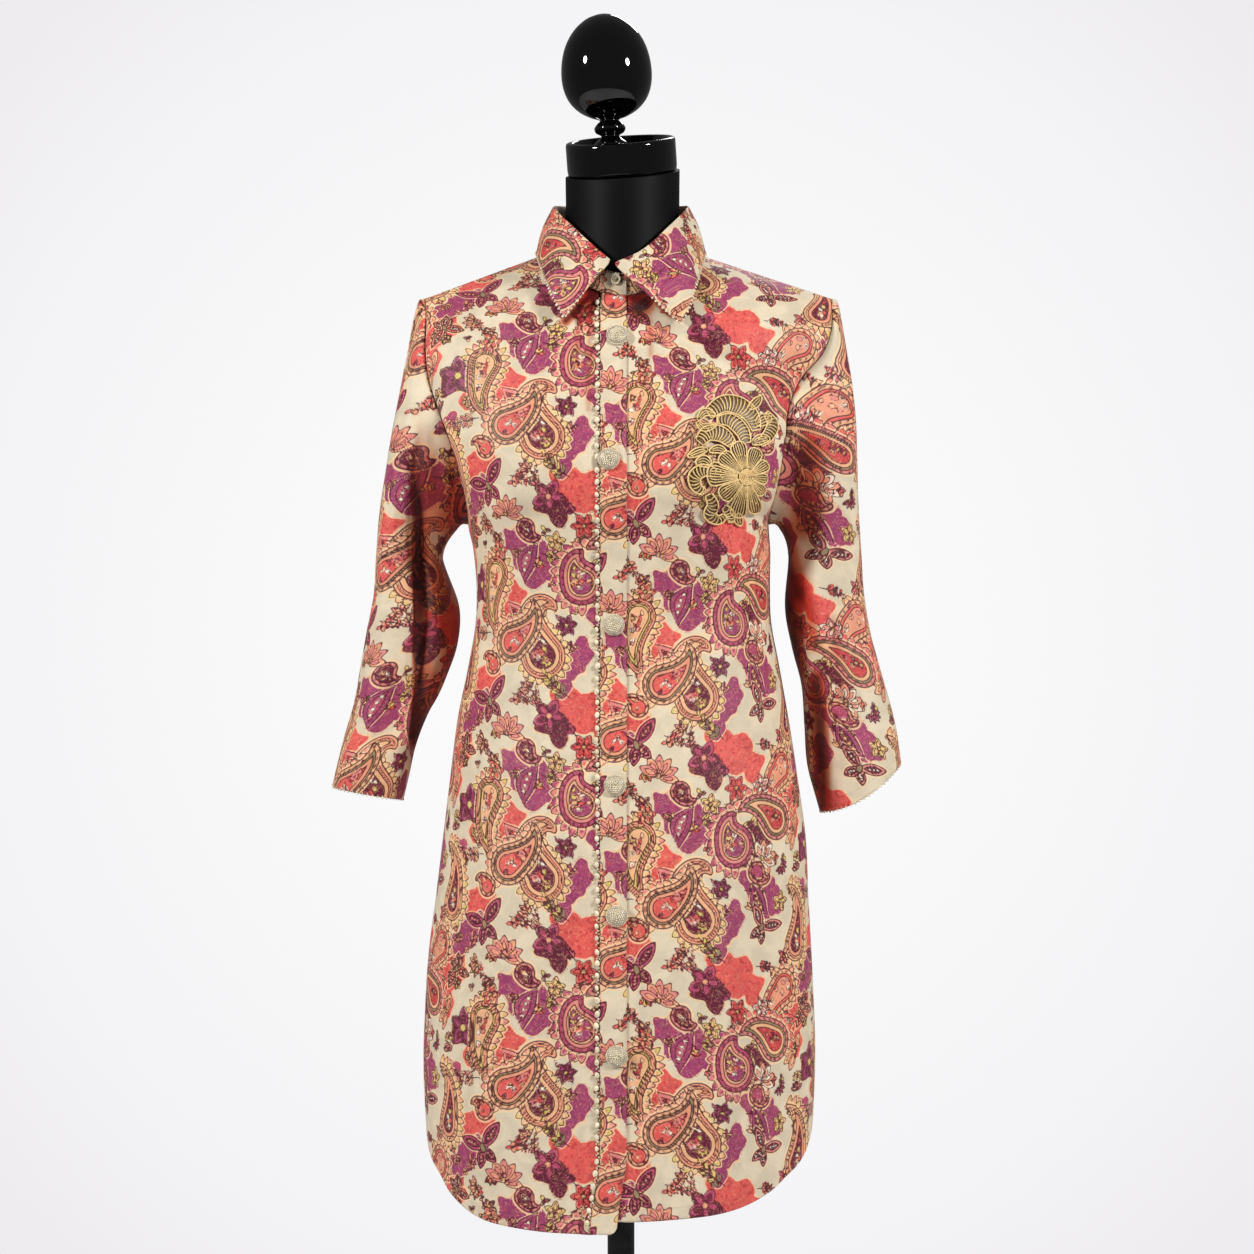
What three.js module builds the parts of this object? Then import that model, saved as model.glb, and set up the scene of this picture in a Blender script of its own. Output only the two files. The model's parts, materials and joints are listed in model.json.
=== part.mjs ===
// A knee-length shirt dress standing on the limbless dress form that fills it.
// Millimetres, +Z up. The front of the dress faces -Y, so its wearer's right is at -X.
// The origin is on the floor, under the middle of the form's pole.
import * as THREE from "three";

const CLOTH = 1.4; // one wall of cloth with its facing
const SEAM = 0.3; // left open between two pieces that meet
const LAID_ON = 0.45; // left open under a bead or button that lies on another piece
const LAID_FLAT = 0.95; // left open under a wider piece, which bridges the panel's facets
const FRONT_SEAM_X = -19; // where the right front meets the button band
const BAND_RIGHT_X = 5.4;
const COLUMNS = 12; // from a centre line to a side seam
const HIP_Z = 860; // the rows below this height bend towards the curved hem
const UNDERARM_Z = 1150;
const HEM_RISE = 2.65; // how late the hem starts to climb to the side seams
const NECK = { y: -6, half: 64, depth: 66, frontZ: 1356, rise: 54 };
const NECK_SEAM_TURN = 92; // degrees from the centre front to the shoulder seam
const RIGHT = -1;
const LEFT = 1;

const COLOURS = {
  print: "#d9a29a",
  band: "#e3b49c",
  beads: "#f0ead8",
  gold: "#b8a45c",
  jersey: "#17171a",
  gloss: "#0b0b0d",
};

// Outline of the body: half-widths on the wearer's right and left, depths before and behind the axis,
// and how square the section is (2 is an ellipse).
const BODY = [
  { z: 500, right: 177, left: 176, front: 130, back: 130, square: 2.15 },
  { z: 600, right: 181, left: 178.5, front: 131, back: 130, square: 2.15 },
  { z: 652, right: 183.5, left: 180.5, front: 131, back: 130, square: 2.15 },
  { z: 698, right: 182, left: 179.5, front: 131, back: 130, square: 2.15 },
  { z: 753, right: 178.5, left: 177, front: 130, back: 129, square: 2.15 },
  { z: 808, right: 171.5, left: 174, front: 128, back: 126, square: 2.15 },
  { z: 862, right: 165, left: 171.5, front: 124, back: 121, square: 2.15 },
  { z: 916, right: 158.5, left: 164, front: 119, back: 113, square: 2.2 },
  { z: 971, right: 151.5, left: 155.5, front: 112, back: 104, square: 2.2 },
  { z: 1025, right: 140.5, left: 146, front: 104, back: 94, square: 2.25 },
  { z: 1070, right: 134, left: 138.5, front: 101, back: 89, square: 2.3 },
  { z: 1119, right: 136, left: 139, front: 107, back: 93, square: 2.3 },
  { z: 1150, right: 141, left: 137, front: 113, back: 99, square: 2.2 },
  { z: 1180, right: 143, left: 140, front: 116, back: 104, square: 2.15 },
  { z: 1215, right: 152, left: 147, front: 114, back: 107, square: 2.1 },
  { z: 1255, right: 165, left: 152, front: 107, back: 108, square: 2.1 },
  { z: 1300, right: 178, left: 180, front: 94, back: 104, square: 2.1 },
  { z: 1335, right: 179, left: 192, front: 82, back: 93, square: 2.1 },
  { z: 1364, right: 185, left: 199, front: 70, back: 80, square: 2.1 },
  { z: 1410, right: 185, left: 199, front: 58, back: 58, square: 2.1 },
];

// The hem, from the centre to the side seam.
const HEM = {
  rightFront: { centre: 514.7, side: 600 },
  leftFront: { centre: 525, side: 611 },
  rightBack: { centre: 512, side: 600 },
  leftBack: { centre: 512, side: 611 },
};
const HEM_SHARES = [0, 0.2, 0.4, 0.6, 0.8]; // rows from the hem up to the hip
const LEVEL_ROWS = [HIP_Z, 915, 970, 1020, 1060, 1095, 1125, UNDERARM_Z];
const FORM_ROWS = [650, 740, 830, 920, 1000, 1060, 1110, UNDERARM_Z];

// Armhole seams from the underarm to the shoulder tip, with the heights of the same rows at the centre lines
// and how far the cloth rounds out between them.
const ARMHOLE = [
  { z: 1150, right: 141, left: 137, front: 0, back: 0, centreFront: 1150, centreBack: 1150, full: 0 },
  { z: 1163, right: 141, left: 138, front: 26, back: 22, centreFront: 1180, centreBack: 1195, full: 0 },
  { z: 1181, right: 144, left: 142, front: 43, back: 40, centreFront: 1215, centreBack: 1245, full: 0 },
  { z: 1203, right: 149, left: 146, front: 53, back: 52, centreFront: 1255, centreBack: 1298, full: 2 },
  { z: 1228, right: 157, left: 150, front: 58, back: 58, centreFront: 1302, centreBack: 1352, full: 7 },
  { z: 1255, right: 167, left: 153, front: 57, back: 60, centreFront: 1364, centreBack: 1405, full: 14 },
  { z: 1281, right: 175.5, left: 164, front: 51, back: 57, centreFront: 1364, centreBack: 1405, full: 13 },
  { z: 1305, right: 179, left: 184, front: 42, back: 50, centreFront: 1364, centreBack: 1405, full: 10 },
  { z: 1327, right: 179.5, left: 193, front: 31, back: 39, centreFront: 1364, centreBack: 1405, full: 7 },
  { z: 1346, right: 180, left: 195, front: 18, back: 22, centreFront: 1364, centreBack: 1405, full: 3 },
  { z: 1360, right: 183, left: 196, front: 4, back: -4, centreFront: 1364, centreBack: 1405, full: 0 },
];
const ARM_ROWS = ARMHOLE.length - 1;
const NECK_ROW = 5; // from this armhole row on, the panels start on the neckline

// The bust stands out from the plain section of the fronts.
const BUST = { x: 88, z: 1205, out: 11, width: 40, height: 44 };

// Soft upright waves of the skirt. turn is 0 at the centre line and 1 at the side seam.
const SKIRT_WAVES = [
  { side: RIGHT, face: "front", turn: 0.42, width: 0.16, out: 4, top: 930 },
  { side: RIGHT, face: "front", turn: 0.74, width: 0.1, out: -3, top: 860 },
  { side: LEFT, face: "front", turn: 0.36, width: 0.14, out: 4, top: 960 },
  { side: LEFT, face: "front", turn: 0.66, width: 0.12, out: -4, top: 900 },
  { side: RIGHT, face: "back", turn: 0.3, width: 0.12, out: 5, top: 950 },
  { side: RIGHT, face: "back", turn: 0.62, width: 0.13, out: -4, top: 900 },
  { side: LEFT, face: "back", turn: 0.45, width: 0.14, out: 5, top: 930 },
];

// Sections of the hanging sleeves: centre and half-width from the axis of the dress, how much higher the
// outer side of the ring is than its inner side, and how far its front sags.
const SLEEVE_DEPTHS = { y: 2, top: 47, cuff: 41 };
const SLEEVES = {
  right: [
    { z: 1117, x: 196, half: 31, rise: 6, sag: 0 },
    { z: 1080, x: 190, half: 39.5, rise: 10, sag: 0 },
    { z: 1045, x: 194.5, half: 42, rise: 12, sag: 0 },
    { z: 1012, x: 203.5, half: 39, rise: 12, sag: 0 },
    { z: 978, x: 214, half: 34.5, rise: 12, sag: 0 },
    { z: 944, x: 225, half: 33, rise: 12, sag: 0 },
    { z: 901, x: 235.5, half: 33, rise: 12, sag: 0 },
  ],
  left: [
    { z: 1117, x: 190, half: 34, rise: 6, sag: 0 },
    { z: 1080, x: 189.5, half: 37, rise: 10, sag: 0 },
    { z: 1045, x: 195, half: 37, rise: 14, sag: 0 },
    { z: 1012, x: 204, half: 36, rise: 20, sag: 0 },
    { z: 978, x: 209.5, half: 38.5, rise: 28, sag: 1 },
    { z: 944, x: 214.5, half: 41, rise: 36, sag: 4 },
    { z: 906, x: 222.5, half: 38, rise: 45, sag: 9 },
  ],
};
const SLEEVE_HEAD = 6; // the sleeve stands straight out from its seam this far
const SLEEVE_BLEND_ROWS = 5; // rows from there to the first ring
// Lengthwise creases. turn 0 is the side next to the body, 0.25 the front, 0.5 the outside.
const SLEEVE_CREASES = {
  right: [
    { turn: 0.33, width: 0.085, out: 7, low: 930, high: 1190 },
    { turn: 0.2, width: 0.09, out: -7, low: 950, high: 1180 },
    { turn: 0.7, width: 0.09, out: 5, low: 930, high: 1160 },
    { turn: 0.85, width: 0.08, out: -5, low: 980, high: 1130 },
  ],
  left: [
    { turn: 0.2, width: 0.08, out: 5, low: 960, high: 1150 },
    { turn: 0.31, width: 0.09, out: -5, low: 930, high: 1120 },
    { turn: 0.66, width: 0.09, out: 5, low: 940, high: 1170 },
    { turn: 0.8, width: 0.08, out: -5, low: 970, high: 1130 },
  ],
};

// Collar by degrees from the centre front: height of its fold and of its free edge, and the place of that edge.
const COLLAR = [
  { turn: 0, foldZ: 1386, edgeX: 48, edgeY: -92, edgeZ: 1327 },
  { turn: 14.5, foldZ: 1387, edgeX: 50, edgeY: -92, edgeZ: 1331 },
  { turn: 30, foldZ: 1402, edgeX: 60, edgeY: -83, edgeZ: 1350 },
  { turn: 45, foldZ: 1419, edgeX: 68, edgeY: -65, edgeZ: 1369 },
  { turn: 61, foldZ: 1432, edgeX: 74, edgeY: -42, edgeZ: 1386 },
  { turn: 76, foldZ: 1441, edgeX: 78, edgeY: -18, edgeZ: 1398 },
  { turn: 92, foldZ: 1446, edgeX: 79, edgeY: 3, edgeZ: 1403 },
  { turn: 110, foldZ: 1449, edgeX: 74, edgeY: 27, edgeZ: 1404 },
  { turn: 145, foldZ: 1452, edgeX: 44, edgeY: 63, edgeZ: 1403 },
  { turn: 180, foldZ: 1452, edgeX: 0, edgeY: 77, edgeZ: 1402 },
];
const COLLAR_FOLD = { half: 60.5, depth: 69, y: -6 };
const STAND = { front: 20, back: 29, lean: 4 };

// Room between the cloth and the form.
const EASE = [
  { z: 500, room: 8 },
  { z: 860, room: 8 },
  { z: 980, room: 10 },
  { z: 1070, room: 10 },
  { z: 1110, room: 8 },
  { z: 1150, room: 4 },
  { z: 1190, room: 1.4 },
  { z: 1230, room: 0.6 },
  { z: 1300, room: 0.4 },
  { z: 1420, room: 0.4 },
];

const FORM_NECK = { x: 1.5, y: -4, half: 53, depth: 57, topZ: 1476 };
const CAP = { radius: 51, height: 31, dish: 9, rim: 5, tiltForward: 13, tiltSide: 4 };
const FINIAL = { height: 123, leanLeft: 3.5, leanForward: 2 };
const POLE = { radius: 12.5, sides: 24 };
const BASE = { radius: 165, height: 12, chamfer: 3, sides: 64 };
const FORM_BOTTOM_Z = FORM_ROWS[0];

const TRIM = { pitch: 11, half: 2.9, neck: 1.2, bead: 3.4, thread: 0.8, low: 519, high: 1352 };
const BUTTON = { radius: 10, height: 5.5, sides: 18 };
const BUTTON_PLACES = [
  { x: -3.6, z: 1317 },
  { x: -10.5, z: 1205 },
  { x: -6.3, z: 1057 },
  { x: -5.4, z: 913.5 },
  { x: -3.6, z: 798 },
  { x: -3.6, z: 673.5 },
];
const STAND_BUTTON = { turn: -4, share: 0.75, radius: 6, height: 3.4 };
const FLOWER = { x: 104, z: 1194, columns: 40, rings: 6, thick: 1.6, rib: 1.2 };
// The sewn flower's reach from its centre, by degrees from straight right, turning up.
const FLOWER_EDGE = [
  { turn: 0, reach: 31 },
  { turn: 20, reach: 27 },
  { turn: 42, reach: 34 },
  { turn: 62, reach: 46 },
  { turn: 80, reach: 67 },
  { turn: 100, reach: 68 },
  { turn: 120, reach: 62 },
  { turn: 138, reach: 42 },
  { turn: 160, reach: 45 },
  { turn: 178, reach: 34 },
  { turn: 200, reach: 43 },
  { turn: 222, reach: 37 },
  { turn: 245, reach: 46 },
  { turn: 268, reach: 44 },
  { turn: 290, reach: 37 },
  { turn: 315, reach: 34 },
  { turn: 340, reach: 27 },
  { turn: 360, reach: 31 },
];

const UP = new THREE.Vector3(0, 0, 1);
const vec = (x, y, z) => new THREE.Vector3(x, y, z);
const mix = (a, b, share) => a + (b - a) * share;
const radians = THREE.MathUtils.degToRad;
const group = new THREE.Group();

// Every column of a table at one value of its key column, along a smooth curve through its rows.
function tableAt(table, keyName, at) {
  let i = 0;
  while (i < table.length - 2 && table[i + 1][keyName] <= at) i += 1;
  const rows = [table[Math.max(i - 1, 0)], table[i], table[i + 1], table[Math.min(i + 2, table.length - 1)]];
  const keys = rows.map((row) => row[keyName]);
  const span = keys[2] - keys[1];
  const share = THREE.MathUtils.clamp((at - keys[1]) / span, 0, 1);
  const found = {};
  for (const name of Object.keys(table[0])) {
    const values = rows.map((row) => row[name]);
    const slopeIn = (values[2] - values[0]) / (keys[2] - keys[0]);
    const slopeOut = (values[3] - values[1]) / (keys[3] - keys[1]);
    found[name] = hermite(values[1], slopeIn * span, values[2], slopeOut * span, share);
  }
  return found;
}

function hermite(start, startSlope, end, endSlope, t) {
  const t2 = t * t;
  const t3 = t2 * t;
  return (
    start * (2 * t3 - 3 * t2 + 1) + startSlope * (t3 - 2 * t2 + t) + end * (3 * t2 - 2 * t3) + endSlope * (t3 - t2)
  );
}

// A bell of height 1 around zero.
const bell = (distance, width) => Math.exp(-(distance * distance) / (2 * width * width));

// Outward push of the bust and of the skirt's waves at a point of the plain section.
function shapeOut(point, side, face, turn) {
  const outward = vec(point.x, point.y, 0).normalize();
  let push = 0;
  if (face === "front") {
    const aside = Math.abs(point.x) - BUST.x;
    push += BUST.out * bell(aside, BUST.width) * bell(point.z - BUST.z, BUST.height);
  }
  for (const wave of SKIRT_WAVES) {
    if (wave.side !== side || wave.face !== face || point.z > wave.top) continue;
    const drop = THREE.MathUtils.smoothstep(wave.top - point.z, 0, 300);
    push += wave.out * drop * bell(turn - wave.turn, wave.width / 2);
  }
  return point.addScaledVector(outward, push * (1 - turn ** 6));
}

// A point of the body below the underarm, where turn runs from the centre line to the side seam.
function skirtPoint(side, face, z, turn) {
  const at = tableAt(BODY, "z", z);
  const start = face === "front" ? FRONT_SEAM_X : 0;
  const end = side * (side === RIGHT ? at.right : at.left);
  const depth = face === "front" ? -at.front : at.back;
  const angle = (turn * Math.PI) / 2;
  const power = 2 / at.square;
  const x = mix(start, end, Math.sin(angle) ** power);
  const y = depth * Math.max(Math.cos(angle), 0) ** power;
  return shapeOut(vec(x, turn === 1 ? 0 : y, z), side, face, turn);
}

// The neckline by degrees from the centre front, positive to the wearer's left.
function neckPoint(degrees) {
  const angle = radians(degrees);
  const climb = 1 - ((1 + Math.cos(angle)) / 2) ** 3;
  return vec(NECK.half * Math.sin(angle), NECK.y - NECK.depth * Math.cos(angle), NECK.frontZ + NECK.rise * climb);
}
const NECK_FRONT_TURN = THREE.MathUtils.radToDeg(Math.asin(FRONT_SEAM_X / NECK.half));

function neckTurn(side, face, row) {
  const share = (row - NECK_ROW) / (ARM_ROWS - NECK_ROW);
  const start = face === "front" ? NECK_FRONT_TURN : side * 180;
  return mix(start, side * NECK_SEAM_TURN, share);
}

function armholePoint(side, face, row) {
  const at = ARMHOLE[row];
  return vec(side * (side === RIGHT ? at.right : at.left), face === "front" ? -at.front : at.back, at.z);
}

// A point of the body above the underarm, between the centre line or neckline and the armhole.
function yokePoint(side, face, row, turn) {
  if (row === 0) return skirtPoint(side, face, UNDERARM_Z, turn);
  const end = armholePoint(side, face, row);
  if (turn === 1) return end;
  let start;
  if (row >= NECK_ROW) {
    start = neckPoint(neckTurn(side, face, row));
  } else {
    const z = face === "front" ? ARMHOLE[row].centreFront : ARMHOLE[row].centreBack;
    start = skirtPoint(side, face, z, 0);
  }
  if (turn === 0) return start;
  const angle = (turn * Math.PI) / 2;
  const power = 2 / 2.15;
  const across = Math.sin(angle) ** power;
  const along = Math.cos(angle) ** power;
  const full = ARMHOLE[row].full * Math.sin(Math.PI * across) * (face === "front" ? -1 : 1);
  const point = vec(mix(start.x, end.x, across), mix(end.y, start.y, along) + full, mix(start.z, end.z, across));
  return row === ARM_ROWS ? point : shapeOut(point, side, face, turn);
}

function yokeRows(side, face, columns) {
  const rows = [];
  for (let row = 1; row <= ARM_ROWS; row += 1) {
    rows.push(Array.from({ length: columns + 1 }, (_, j) => yokePoint(side, face, row, j / columns)));
  }
  return rows;
}

// Half of the body on one face, from the hem to the shoulder seam.
function bodyPatch(side, face, hem, columns) {
  const rows = [];
  for (const share of HEM_SHARES) {
    const row = [];
    for (let j = 0; j <= columns; j += 1) {
      const turn = j / columns;
      const hemZ = mix(hem.centre, hem.side, turn ** HEM_RISE);
      row.push(skirtPoint(side, face, mix(hemZ, HIP_Z, share), turn));
    }
    rows.push(row);
  }
  for (const z of LEVEL_ROWS) {
    rows.push(Array.from({ length: columns + 1 }, (_, j) => skirtPoint(side, face, z, j / columns)));
  }
  rows.push(...yokeRows(side, face, columns));
  return { grid: rows, flip: (side === RIGHT) === (face === "front") };
}

// A ring of the sleeve at one row of its table.
function sleeveRing(side, table, z, count) {
  const at = tableAt(table.slice().reverse(), "z", z);
  const drop = (table[0].z - z) / (table[0].z - table.at(-1).z);
  const depth = mix(SLEEVE_DEPTHS.top, SLEEVE_DEPTHS.cuff, drop);
  const ring = [];
  for (let j = 0; j <= count; j += 1) {
    const turn = j / count;
    const angle = turn * 2 * Math.PI;
    const inward = Math.cos(angle);
    const forward = Math.sin(angle);
    const lowered = (at.rise / 2) * inward + at.sag * Math.max(forward, 0) ** 2;
    ring.push(vec(side * (at.x - at.half * inward), SLEEVE_DEPTHS.y - depth * forward, z - lowered));
  }
  return ring;
}

function creaseSleeve(point, centre, turn, creases) {
  const outward = vec(point.x - centre.x, point.y - centre.y, 0).normalize();
  let push = 0;
  for (const crease of creases) {
    const middle = (crease.low + crease.high) / 2;
    const reach = (crease.high - crease.low) / 2;
    const along = 1 - THREE.MathUtils.smoothstep(Math.abs(point.z - middle), reach * 0.6, reach * 1.2);
    push += crease.out * along * Math.max(0, 1 - Math.abs(turn - crease.turn) / crease.width);
  }
  return point.addScaledVector(outward, push);
}

function sleevePatch(side) {
  const table = side === RIGHT ? SLEEVES.right : SLEEVES.left;
  const creases = side === RIGHT ? SLEEVE_CREASES.right : SLEEVE_CREASES.left;
  const count = 2 * ARM_ROWS;
  const seam = [];
  for (let j = 0; j <= count; j += 1) {
    const face = j <= ARM_ROWS ? "front" : "back";
    seam.push(armholePoint(side, face, j <= ARM_ROWS ? j : count - j));
  }
  const rings = table.map((row) => sleeveRing(side, table, row.z, count));
  const highShare = (j) => 1 - Math.abs(j - ARM_ROWS) / ARM_ROWS;
  const head = seam.map((p, j) => {
    const out = vec(side, Math.sign(p.y) * 0.15, -mix(-0.1, 0.5, highShare(j))).normalize();
    return p.clone().addScaledVector(out, SLEEVE_HEAD);
  });
  const grid = [seam, head];
  for (let k = 1; k < SLEEVE_BLEND_ROWS; k += 1) {
    const t = k / SLEEVE_BLEND_ROWS;
    grid.push(head.map((from, j) => {
      const to = rings[0][j];
      const reach = from.distanceTo(to);
      const outShare = mix(0.75, 0.2, highShare(j) ** 1.5);
      const leave = vec(side * outShare, Math.sign(from.y) * 0.1, -Math.sqrt(1 - outShare ** 2));
      leave.multiplyScalar(reach);
      const arrive = rings[1][j].clone().sub(to).normalize().multiplyScalar(reach);
      return vec(
        hermite(from.x, leave.x, to.x, arrive.x, t),
        hermite(from.y, leave.y, to.y, arrive.y, t),
        hermite(from.z, leave.z, to.z, arrive.z, t),
      );
    }));
  }
  grid.push(...rings);
  for (const ring of grid.slice(2)) {
    const centre = ring.slice(1).reduce((sum, p) => sum.add(p), vec(0, 0, 0)).divideScalar(count);
    ring.forEach((p, j) => creaseSleeve(p, centre, j / count, creases));
    ring[count] = ring[0].clone();
  }
  return { grid, flip: side === LEFT };
}

// The turns of the neckline at which the fronts and the back have their points.
function neckTurns() {
  const rows = Array.from({ length: ARM_ROWS - NECK_ROW + 1 }, (_, i) => NECK_ROW + i);
  const turns = [
    ...rows.map((row) => neckTurn(RIGHT, "front", row)),
    ...rows.slice(0, -1).reverse().map((row) => neckTurn(RIGHT, "back", row)),
    ...rows.slice(1).map((row) => neckTurn(LEFT, "back", row)),
    ...rows.slice(0, -1).reverse().map((row) => neckTurn(LEFT, "front", row)),
  ];
  return turns;
}

// How far the right end of the stand lies out over the left one, as it is buttoned.
function overlap(turn, index) {
  return index < 4 ? (CLOTH + LAID_ON) * (1 - THREE.MathUtils.smoothstep(-turn, 14, 44)) : 0;
}

function standPoint(turn, share, index) {
  const foot = neckPoint(turn);
  const aside = (Math.abs(turn) % 360) / 180;
  const height = mix(STAND.front, STAND.back, Math.sin((aside * Math.PI) / 2));
  const outward = vec(Math.sin(radians(turn)), -Math.cos(radians(turn)), 0);
  foot.addScaledVector(outward, overlap(turn, index) - STAND.lean * share);
  return foot.addScaledVector(UP, height * share);
}

function standTurns() {
  return [5, -5, ...neckTurns()];
}

function standPatch() {
  const turns = standTurns();
  const shares = [0, 0.5, 1];
  const grid = shares.map((share) => turns.map((turn, i) => standPoint(turn, share, i)));
  return { grid, flip: true };
}

// One column of the collar: up from the stand, over the fold and down to the free edge.
function collarColumn(turn, index) {
  const at = tableAt(COLLAR, "turn", Math.abs(turn));
  const outward = vec(Math.sin(radians(turn)), -Math.cos(radians(turn)), 0);
  const nearFront = 1 - THREE.MathUtils.smoothstep(Math.abs(turn), 15, 60);
  const shift = nearFront * (index < 12 ? 4 : -6.6);
  const fold = vec(
    COLLAR_FOLD.half * Math.sin(radians(turn)) + shift,
    COLLAR_FOLD.y - COLLAR_FOLD.depth * Math.cos(radians(turn)),
    at.foldZ,
  );
  const foot = standPoint(turn, 1, index + 2).addScaledVector(outward, -CLOTH).addScaledVector(UP, 2 * SEAM);
  const inner = foot.clone().lerp(fold, 0.7).addScaledVector(outward, -0.6);
  const top = fold.clone().addScaledVector(outward, 1.4);
  const outer = fold.clone().addScaledVector(outward, 4.2).addScaledVector(UP, -3.6);
  const edgeSide = index < 12 ? RIGHT : LEFT;
  const spread = edgeSide === LEFT ? 6 * nearFront : 0;
  const edge = vec(edgeSide * (at.edgeX + spread), at.edgeY, at.edgeZ);
  if (Math.abs(turn) === 180) edge.x = 0;
  const half = outer.clone().lerp(edge, 0.45).addScaledVector(outward, 2.2);
  return [foot, inner, top, outer, half, edge];
}

function collarPatch() {
  const turns = neckTurns().slice(0, -1);
  const columns = turns.map((turn, i) => collarColumn(turn, i));
  const grid = columns[0].map((_, row) => columns.map((column) => column[row]));
  return { grid, flip: false };
}

const keyOf = (p) => `${Math.round(p.x * 200)},${Math.round(p.y * 200)},${Math.round(p.z * 200)}`;

// Triangles of the patches, with each point that they share kept once.
function weld(patches) {
  const points = [];
  const places = new Map();
  const triangles = [];
  const indexOf = (p) => {
    const key = keyOf(p);
    if (!places.has(key)) {
      places.set(key, points.length);
      points.push(p.clone());
    }
    return places.get(key);
  };
  const addTriangle = (a, b, c, flip) => {
    if (a === b || b === c || a === c) return;
    triangles.push(flip ? [a, c, b] : [a, b, c]);
  };
  for (const { grid, flip } of patches) {
    const ids = grid.map((row) => row.map(indexOf));
    for (let i = 0; i + 1 < grid.length; i += 1) {
      for (let j = 0; j + 1 < grid[i].length; j += 1) {
        addTriangle(ids[i][j], ids[i][j + 1], ids[i + 1][j + 1], flip);
        addTriangle(ids[i][j], ids[i + 1][j + 1], ids[i + 1][j], flip);
      }
    }
  }
  return { points, triangles };
}

// Adds each triangle's area normal to its corners, in a table by place.
function addNormals(sheet, table) {
  for (const corners of sheet.triangles) {
    const [a, b, c] = corners.map((i) => sheet.points[i]);
    const normal = b.clone().sub(a).cross(c.clone().sub(a));
    for (const p of [a, b, c]) {
      const key = keyOf(p);
      if (!table.has(key)) table.set(key, vec(0, 0, 0));
      table.get(key).add(normal);
    }
  }
  return table;
}

// Directed edges that belong to one triangle only.
function openEdges(triangles) {
  const edges = new Map();
  for (const t of triangles) {
    for (let k = 0; k < 3; k += 1) edges.set(`${t[k]}_${t[(k + 1) % 3]}`, [t[k], t[(k + 1) % 3]]);
  }
  return [...edges.values()].filter(([a, b]) => !edges.has(`${b}_${a}`));
}

// Draws the open edges of a sheet in by half a seam gap, so that neighbours don't touch.
function drawIn(points, normals, edges, distance) {
  const inward = new Map();
  for (const [a, b] of edges) {
    const along = points[b].clone().sub(points[a]).normalize();
    for (const i of [a, b]) {
      const left = normals[i].clone().cross(along).normalize();
      inward.set(i, [...(inward.get(i) || []), left]);
    }
  }
  for (const [i, sides] of inward) {
    const sum = sides.reduce((total, side) => total.add(side), vec(0, 0, 0));
    const scale = sides.length / Math.max(sum.lengthSq(), 0.5);
    points[i].addScaledVector(sum, distance * scale);
  }
}

function geometryOf(points, triangles) {
  const geometry = new THREE.BufferGeometry();
  geometry.setAttribute("position", new THREE.Float32BufferAttribute(points.flatMap((p) => p.toArray()), 3));
  geometry.setIndex(triangles.flat());
  geometry.computeVertexNormals();
  return geometry;
}

// A closed wall of cloth on the patches: from lift to lift + thick along their normals.
function wallGeometry(patches, { thick = CLOTH, lift = -CLOTH, draw = SEAM / 2, quilt = null, relief = null } = {}) {
  const sheet = weld(patches);
  const table = quilt || addNormals(sheet, new Map());
  const normals = sheet.points.map((p) => table.get(keyOf(p)).clone().normalize());
  const edges = openEdges(sheet.triangles);
  const raised = sheet.points.map((p) => (relief ? relief(p) : 0));
  drawIn(sheet.points, normals, edges, draw);
  const count = sheet.points.length;
  const outer = sheet.points.map((p, i) => p.clone().addScaledVector(normals[i], lift + thick + raised[i]));
  const inner = sheet.points.map((p, i) => p.clone().addScaledVector(normals[i], lift));
  const triangles = [...sheet.triangles];
  for (const [a, b, c] of sheet.triangles) triangles.push([a + count, c + count, b + count]);
  for (const [a, b] of edges) {
    triangles.push([b, a, a + count]);
    triangles.push([b, a + count, b + count]);
  }
  return geometryOf([...outer, ...inner], triangles);
}

function addPiece(name, geometry, colour, roughness = 0.8, metalness = 0) {
  const mesh = new THREE.Mesh(geometry, new THREE.MeshStandardMaterial({ color: colour, roughness, metalness }));
  mesh.name = name;
  group.add(mesh);
  return mesh;
}

const patches = {
  rightFront: bodyPatch(RIGHT, "front", HEM.rightFront, COLUMNS),
  leftFront: bodyPatch(LEFT, "front", HEM.leftFront, COLUMNS),
  rightBack: bodyPatch(RIGHT, "back", HEM.rightBack, COLUMNS),
  leftBack: bodyPatch(LEFT, "back", HEM.leftBack, COLUMNS),
  rightSleeve: sleevePatch(RIGHT),
  leftSleeve: sleevePatch(LEFT),
  stand: standPatch(),
};
const quilt = new Map();
for (const patch of Object.values(patches)) addNormals(weld([patch]), quilt);

// Places on the fronts: the facet of the sewn cloth straight behind x and z, with its normal.
const frontSheets = [weld([patches.rightFront]), weld([patches.leftFront])];
function onFront(x, z) {
  for (const sheet of frontSheets) {
    for (const corners of sheet.triangles) {
      const [a, b, c] = corners.map((i) => sheet.points[i]);
      const area = (b.x - a.x) * (c.z - a.z) - (c.x - a.x) * (b.z - a.z);
      const shareB = ((x - a.x) * (c.z - a.z) - (c.x - a.x) * (z - a.z)) / area;
      const shareC = ((b.x - a.x) * (z - a.z) - (x - a.x) * (b.z - a.z)) / area;
      if (shareB < -1e-6 || shareC < -1e-6 || shareB + shareC > 1 + 1e-6) continue;
      const y = a.y + (b.y - a.y) * shareB + (c.y - a.y) * shareC;
      return vec(x, y, z);
    }
  }
  return skirtPoint(RIGHT, "front", z, 0).setX(x);
}

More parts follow.
